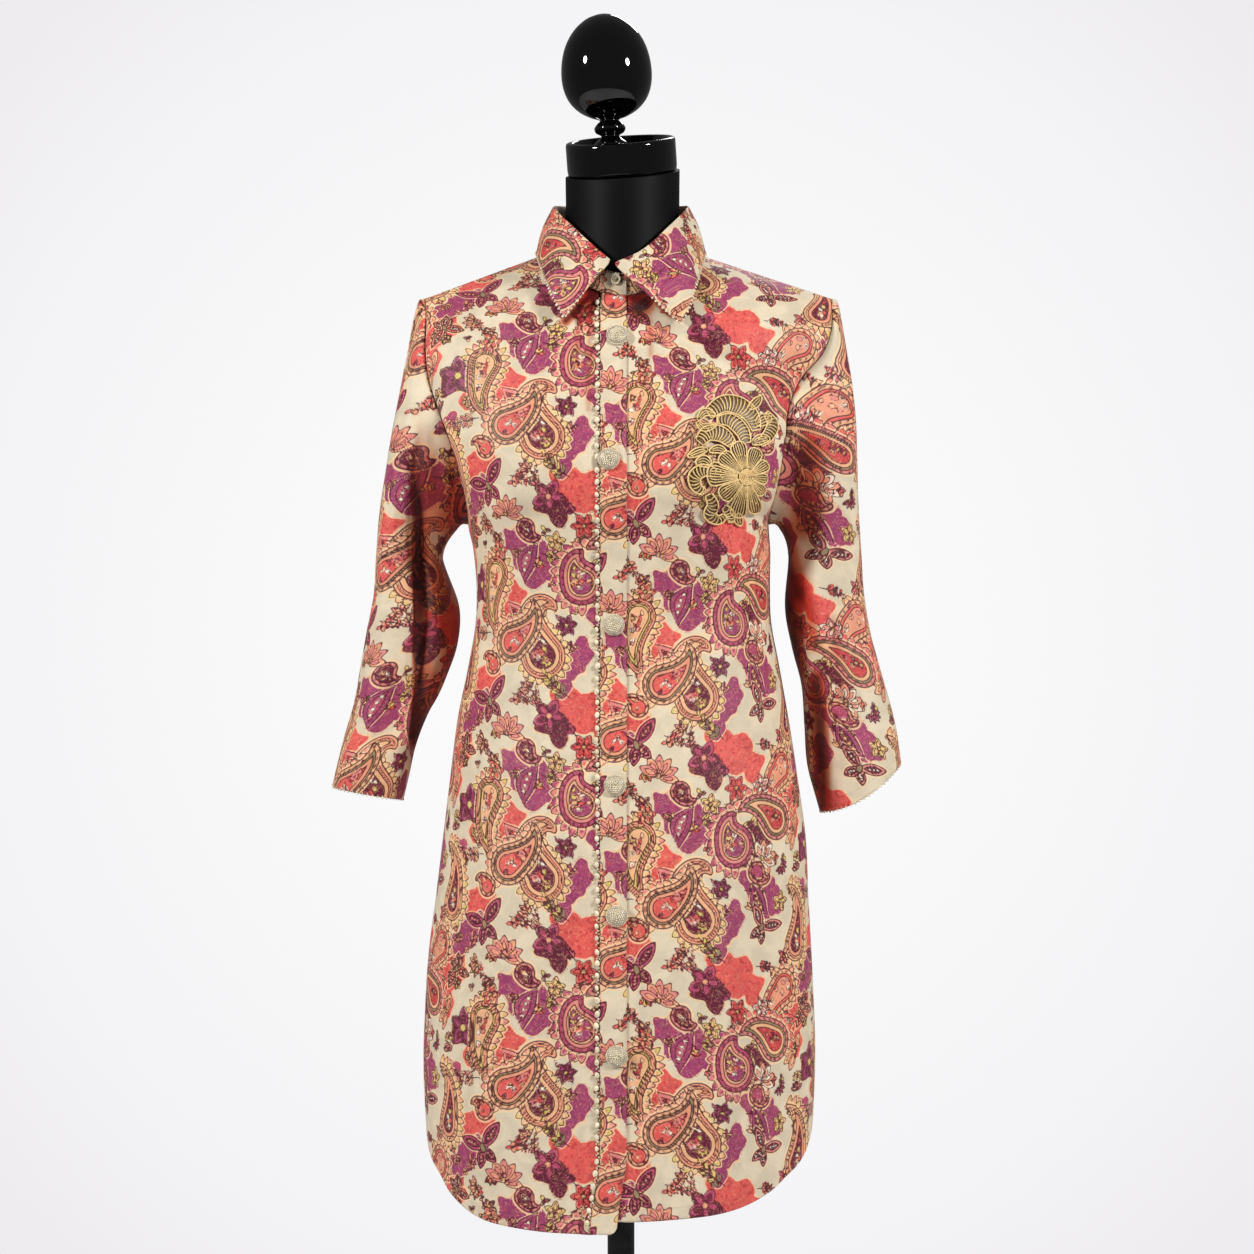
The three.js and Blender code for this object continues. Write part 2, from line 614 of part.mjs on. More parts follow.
function addCloth() {
  const pieces = [
    ["right_front", [patches.rightFront]],
    ["left_front", [patches.leftFront]],
    ["back", [patches.rightBack, patches.leftBack]],
    ["right_sleeve", [patches.rightSleeve]],
    ["left_sleeve", [patches.leftSleeve]],
    ["collar_stand", [patches.stand]],
  ];
  for (const [name, own] of pieces) {
    const draw = name.endsWith("sleeve") ? SEAM * 1.1 : SEAM / 2; // the underarm folds sharply
    addPiece(name, wallGeometry(own, { quilt, draw }), COLOURS.print);
  }
  addPiece("collar", wallGeometry([collarPatch()]), COLOURS.print);
}

// The band's sideways swing near the hem.
const bandSwing = (z) => -9 * (1 - THREE.MathUtils.smoothstep(z, 512, 590));

// The button band on the edge of the right front, with its rounded lower corner.
function addBand() {
  const columns = [0, 0.25, 0.5, 0.8, 1];
  const rows = patches.rightFront.grid.map((row) => row[0].z).slice(0, HEM_SHARES.length + LEVEL_ROWS.length + 5);
  const between = rows.slice(1).map((z, i) => (z + rows[i]) / 2).filter((z) => z > LEVEL_ROWS[3]);
  const heights = [...rows, ...between, rows[0] + 8, rows[0] + 30].sort((a, b) => a - b);
  const grid = heights.map((z, i) => {
    const left = FRONT_SEAM_X + 0.4 + bandSwing(z);
    const right = BAND_RIGHT_X + bandSwing(z);
    return columns.map((share) => {
      const x = mix(left, right, share);
      if (i === heights.length - 1) {
        const neckZ = neckPoint(THREE.MathUtils.radToDeg(Math.asin(x / NECK.half))).z;
        return onFront(x, neckZ - 1);
      }
      const corner = share === 1 && i === 0 ? 6 : 0;
      return onFront(x - corner / 2, z + corner);
    });
  });
  addPiece("button_band", wallGeometry([{ grid, flip: false }], { lift: LAID_FLAT }), COLOURS.band);
}

// Bead edging along the band's seam: one strip whose outer points rise at each bead.
function addTrim() {
  const beads = Math.round((TRIM.high - TRIM.low) / TRIM.pitch);
  const grid = [];
  const raised = new Map();
  for (let i = 0; i <= 2 * beads; i += 1) {
    const z = mix(TRIM.low, TRIM.high, i / (2 * beads));
    const atBead = i % 2 === 1;
    const half = atBead ? TRIM.half : TRIM.neck;
    const middle = FRONT_SEAM_X - 3.1 + bandSwing(z);
    const row = [-half, 0, half].map((aside) => onFront(middle + aside, z));
    raised.set(keyOf(row[1]), atBead ? TRIM.bead : TRIM.thread);
    grid.push(row);
  }
  const relief = (p) => raised.get(keyOf(p)) || 0;
  const geometry = wallGeometry([{ grid, flip: false }], { thick: 0.9, lift: LAID_ON, relief });
  addPiece("bead_trim", geometry, COLOURS.beads, 0.35);
}

function buttonGeometry(radius, height, sides) {
  const profile = [
    [0, 0],
    [radius * 0.92, 0],
    [radius, height * 0.25],
    [radius * 0.93, height * 0.55],
    [radius * 0.6, height * 0.9],
    [0, height],
  ];
  const geometry = new THREE.LatheGeometry(profile.map(([r, h]) => new THREE.Vector2(r, h)), sides);
  return geometry.rotateX(Math.PI / 2); // its axis is then +Z
}

function placeButton(name, foot, outward, radius, height) {
  const mesh = addPiece(name, buttonGeometry(radius, height, BUTTON.sides), COLOURS.beads, 0.3);
  mesh.position.copy(foot);
  mesh.quaternion.setFromUnitVectors(UP, outward);
}

function addButtons() {
  BUTTON_PLACES.forEach(({ x, z }, i) => {
    const around = (degrees) => {
      const angle = radians(degrees);
      return onFront(x + BUTTON.radius * Math.cos(angle), z + BUTTON.radius * Math.sin(angle));
    };
    const across = around(0).sub(around(180));
    const upward = around(90).sub(around(270));
    const outward = across.cross(upward).normalize();
    const middle = onFront(x, z);
    const reach = [0, 45, 90, 135, 180, 225, 270, 315].map((degrees) => around(degrees).sub(middle).dot(outward));
    const clearance = Math.max(0, ...reach) + LAID_FLAT + CLOTH + LAID_ON;
    placeButton(`button_${i + 1}`, middle.addScaledVector(outward, clearance), outward, BUTTON.radius, BUTTON.height);
  });
  const foot = standPoint(STAND_BUTTON.turn, STAND_BUTTON.share, 1);
  const outward = vec(Math.sin(radians(STAND_BUTTON.turn)), -Math.cos(radians(STAND_BUTTON.turn)), 0.1).normalize();
  placeButton(
    "stand_button",
    foot.addScaledVector(outward, LAID_ON + 0.2),
    outward,
    STAND_BUTTON.radius,
    STAND_BUTTON.height,
  );
}

// The flower sewn on the left front, ribbed from its middle outwards.
function addFlower() {
  const grid = [];
  const raised = new Map();
  for (let ring = 0; ring <= FLOWER.rings; ring += 1) {
    const row = [];
    for (let j = 0; j <= FLOWER.columns; j += 1) {
      const degrees = ((j % FLOWER.columns) * 360) / FLOWER.columns;
      const reach = tableAt(FLOWER_EDGE, "turn", degrees).reach * (ring / FLOWER.rings);
      const p = onFront(FLOWER.x + reach * Math.cos(radians(degrees)), FLOWER.z + reach * Math.sin(radians(degrees)));
      if (ring > 0) raised.set(keyOf(p), j % 2 === 0 ? FLOWER.rib : 0);
      row.push(p);
    }
    grid.push(row);
  }
  const relief = (p) => raised.get(keyOf(p)) ?? FLOWER.rib * 1.5;
  const geometry = wallGeometry([{ grid, flip: true }], { thick: FLOWER.thick, lift: LAID_FLAT, relief });
  addPiece("sewn_flower", geometry, COLOURS.gold, 0.5, 0.3);
}

// The form's skin is the dress's own section, drawn in by the cloth and its ease.
function formPoint(p) {
  const normal = quilt.get(keyOf(p)) || formNormals.get(keyOf(p));
  const room = tableAt(EASE, "z", p.z).room;
  return p.clone().addScaledVector(normal.clone().normalize(), -(CLOTH + room));
}

function formSkirtPatch(side, face, columns) {
  const grid = FORM_ROWS.map((z) => Array.from({ length: columns + 1 }, (_, j) => skirtPoint(side, face, z, j / columns)));
  grid.push(...yokeRows(side, face, columns));
  return { grid, flip: (side === RIGHT) === (face === "front") };
}

const formPatches = [
  formSkirtPatch(RIGHT, "front", COLUMNS),
  formSkirtPatch(LEFT, "front", COLUMNS),
  formSkirtPatch(RIGHT, "back", COLUMNS),
  formSkirtPatch(LEFT, "back", COLUMNS),
];
const formNormals = addNormals(weld(formPatches), new Map());

function neckTopZ(x, y) {
  const forward = Math.tan(radians(CAP.tiltForward));
  const aside = Math.tan(radians(CAP.tiltSide));
  return FORM_NECK.topZ + (y - FORM_NECK.y) * forward + (x - FORM_NECK.x) * aside;
}

function formNeckPatch() {
  const turns = neckTurns();
  const foot = turns.map((turn) => formPoint(neckPoint(turn)));
  const column = turns.map((turn) => {
    const x = FORM_NECK.x + FORM_NECK.half * Math.sin(radians(turn));
    return vec(x, FORM_NECK.y - FORM_NECK.depth * Math.cos(radians(turn)), 0);
  });
  const lower = foot.map((p, i) => p.clone().lerp(column[i].clone().setZ(p.z), 0.72).setZ(p.z + 9));
  const middle = foot.map((p, i) => column[i].clone().setZ(p.z + 26));
  const top = column.map((p) => p.clone().setZ(neckTopZ(p.x, p.y)));
  const hub = vec(FORM_NECK.x, FORM_NECK.y, neckTopZ(FORM_NECK.x, FORM_NECK.y));
  return { grid: [foot, lower, middle, top, top.map(() => hub.clone())], flip: true };
}

function armPlatePatch(side) {
  const loop = [];
  for (let row = 0; row <= ARM_ROWS; row += 1) loop.push(formPoint(yokePoint(side, "front", row, 1)));
  for (let row = ARM_ROWS - 1; row >= 0; row -= 1) loop.push(formPoint(yokePoint(side, "back", row, 1)));
  const hub = loop.slice(1).reduce((sum, p) => sum.add(p), vec(0, 0, 0)).divideScalar(loop.length - 1);
  return { grid: [loop, loop.map(() => hub.clone())], flip: side === LEFT };
}

function addForm() {
  const skins = formPatches.map(({ grid, flip }) => ({ grid: grid.map((row) => row.map(formPoint)), flip }));
  const floors = skins.map(({ grid, flip }) => ({
    grid: [grid[0].map(() => vec(0, 0, FORM_BOTTOM_Z)), grid[0].map((p) => p.setZ(FORM_BOTTOM_Z))],
    flip,
  }));
  const all = [...skins, ...floors, formNeckPatch(), armPlatePatch(RIGHT), armPlatePatch(LEFT)];
  const body = weld(all);
  addPiece("form_torso", geometryOf(body.points, body.triangles), COLOURS.jersey, 0.9);
}

function lathe(profile, sides) {
  const points = profile.map(([radius, height]) => new THREE.Vector2(radius, height));
  return new THREE.LatheGeometry(points, sides).rotateX(Math.PI / 2);
}

function addCapAndFinial() {
  const cap = lathe(
    [
      [0, 0],
      [CAP.radius - 2, 0],
      [CAP.radius - 1, 1],
      [CAP.radius, CAP.height - 2],
      [CAP.radius - 1.5, CAP.height],
      [CAP.radius - CAP.rim, CAP.height],
      [CAP.radius - CAP.rim - 3, CAP.height - CAP.dish * 0.7],
      [30, CAP.height - CAP.dish],
      [0, CAP.height - CAP.dish],
    ],
    40,
  );
  const seat = new THREE.Group();
  const tilt = vec(-Math.tan(radians(CAP.tiltSide)), -Math.tan(radians(CAP.tiltForward)), 1).normalize();
  seat.position.set(FORM_NECK.x, FORM_NECK.y, FORM_NECK.topZ).addScaledVector(tilt, SEAM);
  seat.quaternion.setFromUnitVectors(UP, tilt);
  group.add(seat);
  seat.add(addPiece("form_neck_cap", cap, COLOURS.gloss, 0.12));

  const finial = lathe(
    [
      [0, 0],
      [15, 0],
      [15.5, 3],
      [11, 7],
      [8.5, 10],
      [13, 13],
      [14.5, 17],
      [12, 21],
      [9, 24.5],
      [18, 28],
      [28, 34],
      [36, 43],
      [40.5, 54],
      [42, 67],
      [40.5, 82],
      [36, 96],
      [28, 108.5],
      [17.5, 117.5],
      [8, FINIAL.height - 1.6],
      [0, FINIAL.height],
    ],
    28,
  );
  const mesh = addPiece("form_finial", finial, COLOURS.gloss, 0.08);
  const lean = vec(-Math.tan(radians(FINIAL.leanLeft)), -Math.tan(radians(FINIAL.leanForward)), 1).normalize();
  const foot = seat.position.clone().addScaledVector(tilt, CAP.height - CAP.dish + 3.2);
  mesh.position.copy(foot).add(vec(-9, 0, -0.6));
  mesh.quaternion.setFromUnitVectors(UP, lean);
}

function addPoleAndBase() {
  const poleHeight = FORM_BOTTOM_Z - SEAM - (BASE.height + SEAM);
  const pole = new THREE.CylinderGeometry(POLE.radius, POLE.radius, poleHeight, POLE.sides);
  pole.rotateX(Math.PI / 2).translate(0, 0, BASE.height + SEAM + poleHeight / 2);
  addPiece("form_pole", pole, COLOURS.gloss, 0.35, 0.4);
  const base = lathe(
    [
      [0, 0],
      [BASE.radius, 0],
      [BASE.radius, BASE.height - BASE.chamfer],
      [BASE.radius - BASE.chamfer, BASE.height],
      [0, BASE.height],
    ],
    BASE.sides,
  );
  addPiece("form_base", base, COLOURS.gloss, 0.4, 0.4);
}

addCloth();
addBand();
addTrim();
addButtons();
addFlower();
addForm();
addCapAndFinial();
addPoleAndBase();

export default group;
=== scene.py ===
"""A printed shirt dress on a limbless dress form, dressed around the solids, with light and camera."""

import json
import math

import bpy
import numpy as np
from mathutils import Matrix, Vector
from mathutils.kdtree import KDTree

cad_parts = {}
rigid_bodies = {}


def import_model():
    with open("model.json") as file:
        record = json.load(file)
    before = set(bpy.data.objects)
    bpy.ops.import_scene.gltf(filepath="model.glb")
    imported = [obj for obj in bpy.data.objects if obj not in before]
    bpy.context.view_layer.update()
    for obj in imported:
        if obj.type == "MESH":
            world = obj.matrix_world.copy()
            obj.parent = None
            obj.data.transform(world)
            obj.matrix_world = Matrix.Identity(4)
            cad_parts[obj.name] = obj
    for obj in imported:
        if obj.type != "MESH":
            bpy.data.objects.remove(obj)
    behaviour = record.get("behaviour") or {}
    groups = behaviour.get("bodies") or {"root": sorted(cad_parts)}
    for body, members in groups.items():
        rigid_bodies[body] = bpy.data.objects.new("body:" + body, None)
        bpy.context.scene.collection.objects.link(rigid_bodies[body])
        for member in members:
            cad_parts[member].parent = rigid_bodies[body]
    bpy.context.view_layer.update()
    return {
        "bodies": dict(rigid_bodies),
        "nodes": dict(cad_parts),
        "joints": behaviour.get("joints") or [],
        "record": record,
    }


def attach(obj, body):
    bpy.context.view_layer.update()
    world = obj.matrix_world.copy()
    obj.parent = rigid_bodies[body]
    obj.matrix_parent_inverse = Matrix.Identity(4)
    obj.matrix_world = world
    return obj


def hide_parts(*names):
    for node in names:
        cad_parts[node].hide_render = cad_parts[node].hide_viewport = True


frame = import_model()

# Lengths are in millimetres up to MM, which turns them into Blender's metres.
MM = 0.001
RIGHT, LEFT = -1, 1  # the wearer's sides; the front faces -Y
FRONT, BACK = "front", "back"
COARSE = 4  # one cell of the inner skin covers this many of the outer one each way
CLOTH = 1.1  # thickness here; the solids' cloth has CAD_CLOTH

FRONT_SEAM_X = -19
BAND_RIGHT_X = 5.4
COLUMNS = 12  # cells across a quarter of the body in the solids
HIP_Z = 860
UNDERARM_Z = 1150
HEM_RISE = 2.65
NECK_Y, NECK_HALF, NECK_DEPTH, NECK_FRONT_Z, NECK_CLIMB = -6, 64, 66, 1356, 54
NECK_SEAM_TURN = 92

# Height, half-widths on the wearer's right and left, depths before and behind, squareness of the section.
BODY = np.array([
    (500, 177, 176, 130, 130, 2.15),
    (600, 181, 178.5, 131, 130, 2.15),
    (652, 183.5, 180.5, 131, 130, 2.15),
    (698, 182, 179.5, 131, 130, 2.15),
    (753, 178.5, 177, 130, 129, 2.15),
    (808, 171.5, 174, 128, 126, 2.15),
    (862, 165, 171.5, 124, 121, 2.15),
    (916, 158.5, 164, 119, 113, 2.2),
    (971, 151.5, 155.5, 112, 104, 2.2),
    (1025, 140.5, 146, 104, 94, 2.25),
    (1070, 134, 138.5, 101, 89, 2.3),
    (1119, 136, 139, 107, 93, 2.3),
    (1150, 141, 137, 113, 99, 2.2),
    (1180, 143, 140, 116, 104, 2.15),
    (1215, 152, 147, 114, 107, 2.1),
    (1255, 165, 152, 107, 108, 2.1),
    (1300, 178, 180, 94, 104, 2.1),
    (1335, 179, 192, 82, 93, 2.1),
    (1364, 185, 199, 70, 80, 2.1),
    (1410, 185, 199, 58, 58, 2.1),
])
# Height of the hem at the centre line and at the side seam.
HEM = {
    (RIGHT, FRONT): (514.7, 600),
    (LEFT, FRONT): (525, 611),
    (RIGHT, BACK): (512, 600),
    (LEFT, BACK): (512, 611),
}
HEM_SHARES = (0, 0.2, 0.4, 0.6, 0.8)
LEVEL_ROWS = (HIP_Z, 915, 970, 1020, 1060, 1095, 1125, UNDERARM_Z)

# Armhole seam from the underarm up: height, right, left, before, behind, the height of the same row at the
# centre front and centre back, and how far the cloth rounds out on the way there.
ARMHOLE = np.array([
    (1150, 141, 137, 0, 0, 1150, 1150, 0),
    (1163, 141, 138, 26, 22, 1180, 1195, 0),
    (1181, 144, 142, 43, 40, 1215, 1245, 0),
    (1203, 149, 146, 53, 52, 1255, 1298, 2),
    (1228, 157, 150, 58, 58, 1302, 1352, 7),
    (1255, 167, 153, 57, 60, 1364, 1405, 14),
    (1281, 175.5, 164, 51, 57, 1364, 1405, 13),
    (1305, 179, 184, 42, 50, 1364, 1405, 10),
    (1327, 179.5, 193, 31, 39, 1364, 1405, 7),
    (1346, 180, 195, 18, 22, 1364, 1405, 3),
    (1360, 183, 196, 4, -4, 1364, 1405, 0),
])
ARM_ROWS = len(ARMHOLE) - 1
NECK_ROW = 5
YOKE_SQUARENESS = 2.15
YOKE_START = len(HEM_SHARES) + len(LEVEL_ROWS) - 1  # the underarm's row among the rows of a panel

BUST_X, BUST_Z, BUST_OUT, BUST_WIDTH, BUST_HEIGHT = 88, 1205, 11, 40, 44
# Side, face, place from the centre line (0) to the side seam (1), width, reach and top of each soft wave.
SKIRT_WAVES = [
    (RIGHT, FRONT, 0.42, 0.16, 4, 930),
    (RIGHT, FRONT, 0.74, 0.1, -3, 860),
    (LEFT, FRONT, 0.36, 0.14, 4, 960),
    (LEFT, FRONT, 0.66, 0.12, -4, 900),
    (RIGHT, BACK, 0.3, 0.12, 5, 950),
    (RIGHT, BACK, 0.62, 0.13, -4, 900),
    (LEFT, BACK, 0.45, 0.14, 5, 930),
]

# Rings of the hanging sleeves: height, centre and half-width, rise of the outer side, sag of the front.
SLEEVES = {
    RIGHT: np.array([
        (1117, 196, 31, 6, 0),
        (1080, 190, 39.5, 10, 0),
        (1045, 194.5, 42, 12, 0),
        (1012, 203.5, 39, 12, 0),
        (978, 214, 34.5, 12, 0),
        (944, 225, 33, 12, 0),
        (901, 235.5, 33, 12, 0),
    ]),
    LEFT: np.array([
        (1117, 190, 34, 6, 0),
        (1080, 189.5, 37, 10, 0),
        (1045, 195, 37, 14, 0),
        (1012, 204, 36, 20, 0),
        (978, 209.5, 38.5, 28, 1),
        (944, 214.5, 41, 36, 4),
        (906, 222.5, 38, 45, 9),
    ]),
}
SLEEVE_Y, SLEEVE_TOP_DEPTH, SLEEVE_CUFF_DEPTH = 2, 47, 41
SLEEVE_HEAD = 6
SLEEVE_BLEND_ROWS = 5
# Lengthwise creases: place around the ring, width, reach, lowest and highest height.
SLEEVE_CREASES = {
    RIGHT: [
        (0.33, 0.085, 7, 930, 1190),
        (0.2, 0.09, -7, 950, 1180),
        (0.7, 0.09, 5, 930, 1160),
        (0.85, 0.08, -5, 980, 1130),
    ],
    LEFT: [
        (0.2, 0.08, 5, 960, 1150),
        (0.31, 0.09, -5, 930, 1120),
        (0.66, 0.09, 5, 940, 1170),
        (0.8, 0.08, -5, 970, 1130),
    ],
}

# Collar by degrees from the centre front: height of the fold, then the place of the free edge.
COLLAR = np.array([
    (0, 1386, 48, -92, 1327),
    (14.5, 1387, 50, -92, 1331),
    (30, 1402, 60, -83, 1350),
    (45, 1419, 68, -65, 1369),
    (61, 1432, 74, -42, 1386),
    (76, 1441, 78, -18, 1398),
    (92, 1446, 79, 3, 1403),
    (110, 1449, 74, 27, 1404),
    (145, 1452, 44, 63, 1403),
    (180, 1452, 0, 77, 1402),
])
FOLD_HALF, FOLD_DEPTH, FOLD_Y = 60.5, 69, -6
STAND_FRONT, STAND_BACK, STAND_LEAN = 20, 29, 4
COLLAR_MEETS = 8.5, -9.6  # how far the two ends of the fold are drawn together
COLLAR_FOLD_ROW = 2
COLLAR_MIDDLE = 12  # columns of the collar before this one are on the wearer's right

# Room between the dress and the form, by height.
EASE = np.array([
    (500, 8), (860, 8), (980, 10), (1070, 10), (1110, 8),
    (1150, 4), (1190, 1.4), (1230, 0.6), (1300, 0.4), (1420, 0.4),
])
FORM_ROWS = (650, 740, 830, 920, 1000, 1060, 1110, UNDERARM_Z)
FORM_NECK_X, FORM_NECK_Y, FORM_NECK_HALF, FORM_NECK_DEPTH, FORM_NECK_TOP = 1.5, -4, 53, 57, 1476
CAP_TILT_FORWARD, CAP_TILT_SIDE = 13, 4
CAD_CLOTH = 1.4

TRIM_X, TRIM_PITCH, TRIM_LOW, TRIM_HIGH = FRONT_SEAM_X - 3.1, 11, 519, 1352
BUTTON_PLACES = [(-3.6, 1317), (-10.5, 1205), (-6.3, 1057), (-5.4, 913.5), (-3.6, 798), (-3.6, 673.5)]


def mix(a, b, share):
    return a + (b - a) * share


def smoothstep(x, low, high):
    t = np.clip((x - low) / (high - low), 0, 1)
    return t * t * (3 - 2 * t)


def bell(distance, width):
    return np.exp(-(distance**2) / (2 * width**2))


def stack(x, y, z):
    return np.stack(np.broadcast_arrays(x, y, z), axis=-1).astype(float)


def unit(v):
    return v / np.maximum(np.linalg.norm(v, axis=-1, keepdims=True), 1e-9)


def hermite(start, start_slope, end, end_slope, t):
    t2, t3 = t * t, t * t * t
    leaving = start * (2 * t3 - 3 * t2 + 1) + start_slope * (t3 - 2 * t2 + t)
    return leaving + end * (3 * t2 - 2 * t3) + end_slope * (t3 - t2)


def spline(keys, rows, at):
    """A smooth curve through rows, which lie at keys, read at the places in at."""
    at = np.clip(np.asarray(at, float), keys[0], keys[-1])
    i = np.clip(np.searchsorted(keys, at, side="right") - 1, 0, len(keys) - 2)
    before, after = np.maximum(i - 1, 0), np.minimum(i + 2, len(keys) - 1)

    def wide(values):
        return values.reshape(values.shape + (1,) * (rows.ndim - 1))

    span = keys[i + 1] - keys[i]
    slope_in = (rows[i + 1] - rows[before]) * wide(span / (keys[i + 1] - keys[before]))
    slope_out = (rows[after] - rows[i]) * wide(span / (keys[after] - keys[i]))
    return hermite(rows[i], slope_in, rows[i + 1], slope_out, wide((at - keys[i]) / span))


def table_at(table, at):
    return spline(table[:, 0], table, at)


def rows_at(at, keys, rows):
    """Each column of rows, which lie at keys, read at the places in at."""
    return np.stack([np.interp(at, keys, column) for column in rows.T], axis=-1)


def steps_of(grid, axis=0):
    """Distances between neighbouring points."""
    return np.linalg.norm(np.diff(grid, axis=axis), axis=-1)


def from_zero(steps):
    return np.concatenate([[0], np.cumsum(steps)])


def turned(side, up, degrees):
    """Two square directions turned together, or a place seen from a turned frame."""
    angle = math.radians(degrees)
    return side * math.cos(angle) + up * math.sin(angle), up * math.cos(angle) - side * math.sin(angle)


def outward_at(degrees):
    """The level direction away from the neck, 0 degrees being the centre front."""
    return np.array([math.sin(math.radians(degrees)), -math.cos(math.radians(degrees)), 0])


# Shapes of the panels, as in the solids' source


def shape_out(points, side, face, turn):
    """Pushes the bust and the skirt's waves out of the plain section."""
    outward = unit(points * (1, 1, 0))
    x, z = points[..., 0], points[..., 2]
    push = np.zeros(x.shape)
    if face == FRONT:
        push += BUST_OUT * bell(abs(x) - BUST_X, BUST_WIDTH) * bell(z - BUST_Z, BUST_HEIGHT)
    for wave_side, wave_face, place, width, out, top in SKIRT_WAVES:
        if (wave_side, wave_face) == (side, face):
            push += out * smoothstep(top - z, 0, 300) * bell(turn - place, width / 2)
    return points + outward * (push * (1 - turn**6))[..., None]


def skirt(side, face, z, turn):
    z, turn = np.broadcast_arrays(np.asarray(z, float), np.asarray(turn, float))
    at = table_at(BODY, z)
    start = FRONT_SEAM_X if face == FRONT else 0
    end = side * at[..., 1 if side == RIGHT else 2]
    depth = -at[..., 3] if face == FRONT else at[..., 4]
    power = 2 / at[..., 5]
    across = np.sin(turn * math.pi / 2) ** power
    along = np.where(turn >= 1, 0, np.maximum(np.cos(turn * math.pi / 2), 0) ** power)
    return shape_out(stack(mix(start, end, across), depth * along, z), side, face, turn)


def neck_point(degrees):
    angle = np.radians(degrees)
    climb = 1 - ((1 + np.cos(angle)) / 2) ** 3
    z = NECK_FRONT_Z + NECK_CLIMB * climb
    return stack(NECK_HALF * np.sin(angle), NECK_Y - NECK_DEPTH * np.cos(angle), z)


NECK_FRONT_TURN = math.degrees(math.asin(FRONT_SEAM_X / NECK_HALF))


def neck_turn(side, face, row):
    share = (row - NECK_ROW) / (ARM_ROWS - NECK_ROW)
    return mix(NECK_FRONT_TURN if face == FRONT else side * 180, side * NECK_SEAM_TURN, share)


def armhole_point(side, face, row):
    z, right, left, before, behind = ARMHOLE[row][:5]
    return np.array([side * (right if side == RIGHT else left), -before if face == FRONT else behind, z])


def yoke_row(side, face, row, turn):
    """One row of a panel above the underarm, from the centre line or the neckline to the armhole."""
    if row == 0:
        return skirt(side, face, UNDERARM_Z, turn)
    end = armhole_point(side, face, row)
    if row >= NECK_ROW:
        start = neck_point(neck_turn(side, face, row))
    else:
        start = skirt(side, face, ARMHOLE[row][5 if face == FRONT else 6], 0.0)
    across = np.sin(turn * math.pi / 2) ** (2 / YOKE_SQUARENESS)
    along = np.maximum(np.cos(turn * math.pi / 2), 0) ** (2 / YOKE_SQUARENESS)
    full = ARMHOLE[row][7] * np.sin(math.pi * across) * (-1 if face == FRONT else 1)
    y = mix(end[1], start[1], along) + full
    points = stack(mix(start[0], end[0], across), y, mix(start[2], end[2], across))
    if row < ARM_ROWS:
        points = shape_out(points, side, face, turn)
    points[0], points[-1] = start, end
    return points


TURNS = np.linspace(0, 1, COLUMNS + 1)


def yoke_rows(side, face):
    return [yoke_row(side, face, row, TURNS) for row in range(1, ARM_ROWS + 1)]


def panel_control(side, face):
    """The solid's own grid of a quarter of the body."""
    centre, edge = HEM[side, face]
    hem = mix(centre, edge, TURNS**HEM_RISE)
    rows = [skirt(side, face, mix(hem, HIP_Z, share), TURNS) for share in HEM_SHARES]
    rows += [skirt(side, face, z, TURNS) for z in LEVEL_ROWS]
    return np.array(rows + yoke_rows(side, face))


def form_control(side, face):
    return np.array([skirt(side, face, z, TURNS) for z in FORM_ROWS] + yoke_rows(side, face))


def with_phantoms(control, side, face, maker, yoke_start):
    """The grid with one more column at each end, from the next panel where the cloth goes on into it."""
    beyond_centre = maker(-side, face)[:, 1]
    beyond_side = maker(side, BACK if face == FRONT else FRONT)[:, -2]
    start = 2 * control[:, 0] - control[:, 1]
    end = 2 * control[:, -1] - control[:, -2]
    neck = yoke_start + NECK_ROW
    start[:neck] = beyond_centre[:neck]
    end[: yoke_start + 1] = beyond_side[: yoke_start + 1]
    return np.concatenate([start[:, None], control, end[:, None]], axis=1)


